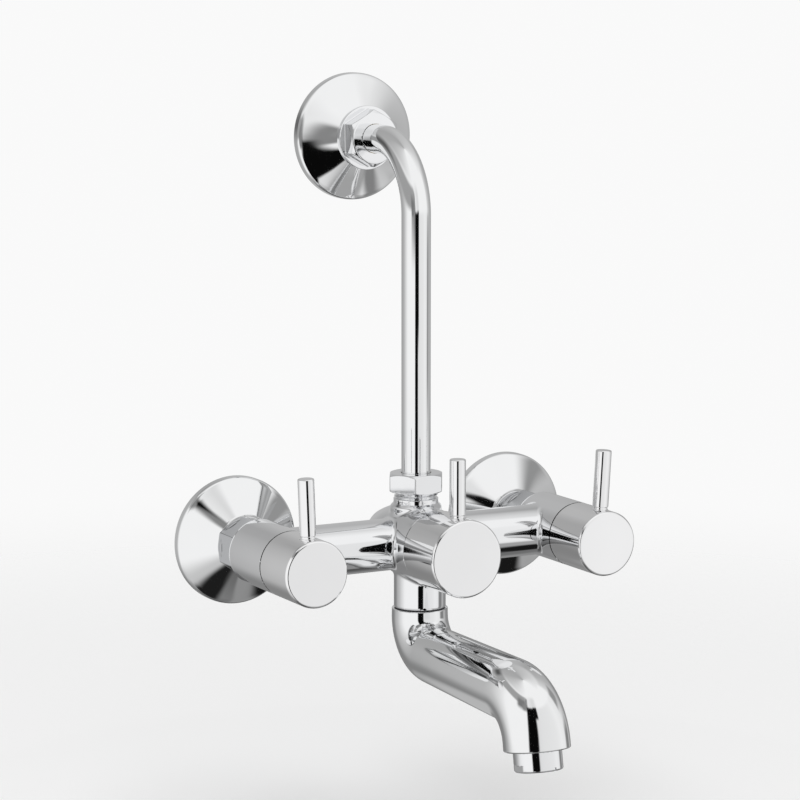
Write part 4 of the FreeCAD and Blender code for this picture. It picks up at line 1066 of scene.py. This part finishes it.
# Steps down to the floor: height from, to in degrees, and what is left of the brightness
STEPS = ((-24, -42, 0.62), (-42, -56, 0.6), (-54, -70, 0.45))
# Patches on the tent: turn from, to, softness, height from, to, softness in degrees, and brightness
PATCHES = ((-132, -10, 8, 28, 47, 3, 0.65), (-131, -108, 7, 32, 44, 5, 0.36),
           (-36, -12, 5, 20, 38, 5, 0.5), (22, 94, 6, 26, 56, 4, 1.0), (-200, -125, 12, -41, -12, 6, 0.53),
           (-200, -125, 10, -52, -42, 3, 0.74), (125, 200, 12, -45, -4, 8, 0.56),
           (30, 120, 8, -47, -33, 3, 0.66), (90, 112, 5, -36, -14, 6, 0.53), (92, 113, 4, 1, 22, 5, 0.6),
           (-12, 30, 8, -66, -49, 4, 0.12), (80, 118, 6, -59, -44, 3, 0.1), (-13, -6, 3, 25, 44, 3, 0.55),
           (-20, -6, 4, 19, 31, 3, 0.55), (-8, 14.5, 2, -30, 26.5, 2.5, 0.04),
           (10, 20.5, 1.5, 9, 28, 2.5, 0.05), (1, 14.5, 2.5, -44, -27, 3, 0.05),
           (58, 125, 6, -80, -61, 2.5, 0.58))


def raise_light_tent():
    """A tent of white cloth that only reflections see: bright sides, a grey back and a dark front opening."""
    material = bpy.data.materials.new("tent_cloth")
    tree = emptied_tree(material)
    place = add_node(tree, "ShaderNodeTexCoord").outputs["Object"]
    from_middle = add_node(tree, "ShaderNodeVectorMath", {0: place, 1: TENT_MIDDLE}, operation="SUBTRACT")
    parts = add_node(tree, "ShaderNodeSeparateXYZ", {0: from_middle})
    along, across, upward = (parts.outputs[axis] for axis in "XYZ")
    turn = worked(tree, "ARCTAN2", along, worked(tree, "MULTIPLY", across, -1.0))
    turn = worked(tree, "MULTIPLY_ADD", turn, 180 / math.pi, CAMERA_AZIMUTH)
    turn = worked(tree, "WRAP", turn, 180.0, -180.0)
    squares = [worked(tree, "MULTIPLY", part, part) for part in (along, across)]
    out = worked(tree, "SQRT", worked(tree, "ADD", *squares))
    height = worked(tree, "MULTIPLY", worked(tree, "ARCTAN2", upward, out), 180 / math.pi)
    level = around_wall(tree, turn, WALL)
    level = laid_over(tree, level, ramped(tree, height, 43, 56), around_wall(tree, turn, ROOF))
    for high, low, share in STEPS:
        level = worked(tree, "MULTIPLY", level, ramped(tree, height, low, high, share, 1))
    for left, right, soft, foot, top, blur, shown in PATCHES:
        sideways, upright = between(tree, turn, left, right, soft), between(tree, height, foot, top, blur)
        level = laid_over(tree, level, worked(tree, "MULTIPLY", sideways, upright), glow_of(shown))
    glow = add_node(tree, "ShaderNodeEmission", {"Strength": level})
    add_node(tree, "ShaderNodeOutputMaterial", {"Surface": glow})
    material.cycles.emission_sampling = "NONE"
    rings = ((0.0005, TENT_FOOT), (TENT_RADIUS, TENT_FOOT), (TENT_RADIUS, TENT_TOP), (0.0005, TENT_TOP))
    tent = round_sheet("light_tent", rings, 128, material)
    tent.data.transform(Matrix.Translation((*TENT_MIDDLE[:2], 0)))
    tent.visible_camera = tent.visible_diffuse = tent.visible_shadow = tent.visible_transmission = False


def light_room():
    """An even pale room: it lights what isn't bright metal, and is the background."""
    world = bpy.data.worlds.new("room")
    bpy.context.scene.world = world
    tree = emptied_tree(world)
    path = add_node(tree, "ShaderNodeLightPath")
    lit, seen = (add_node(tree, "ShaderNodeBackground", {"Color": grey(tone), "Strength": strength})
                 for tone, strength in ((1.0, 0.75), (0.95, 1.0)))
    mix = add_node(tree, "ShaderNodeMixShader", {
        0: path.outputs["Is Camera Ray"], 1: lit, 2: seen})
    add_node(tree, "ShaderNodeOutputWorld", {"Surface": mix})


def aimed(name, data, place, target):
    """A lamp or a camera that looks at its target."""
    holder = add_object(name, data)
    holder.location = place
    holder.rotation_euler = (Vector(target) - Vector(place)).to_track_quat("-Z", "Y").to_euler()
    return holder


def hang_lamp():
    lamp = bpy.data.lights.new("overhead_panel", "AREA")
    lamp.shape = "DISK"
    lamp.size = 1.2
    lamp.energy = 9
    aimed("overhead_panel", lamp, (-0.3, -0.6, 1.5), (0, -0.08, 0)).visible_glossy = False


def place_camera():
    camera = bpy.data.cameras.new("camera")
    camera.sensor_width = SENSOR
    camera.lens = SENSOR * FOCAL_PIXELS / PHOTO_WIDTH
    camera.clip_end = 100
    bpy.context.scene.camera = aimed("camera", camera, CAMERA_PLACE, CAMERA_TARGET)


lay_floor()
raise_light_tent()
light_room()
hang_lamp()
place_camera()
bpy.context.scene.view_settings.view_transform = "Standard"
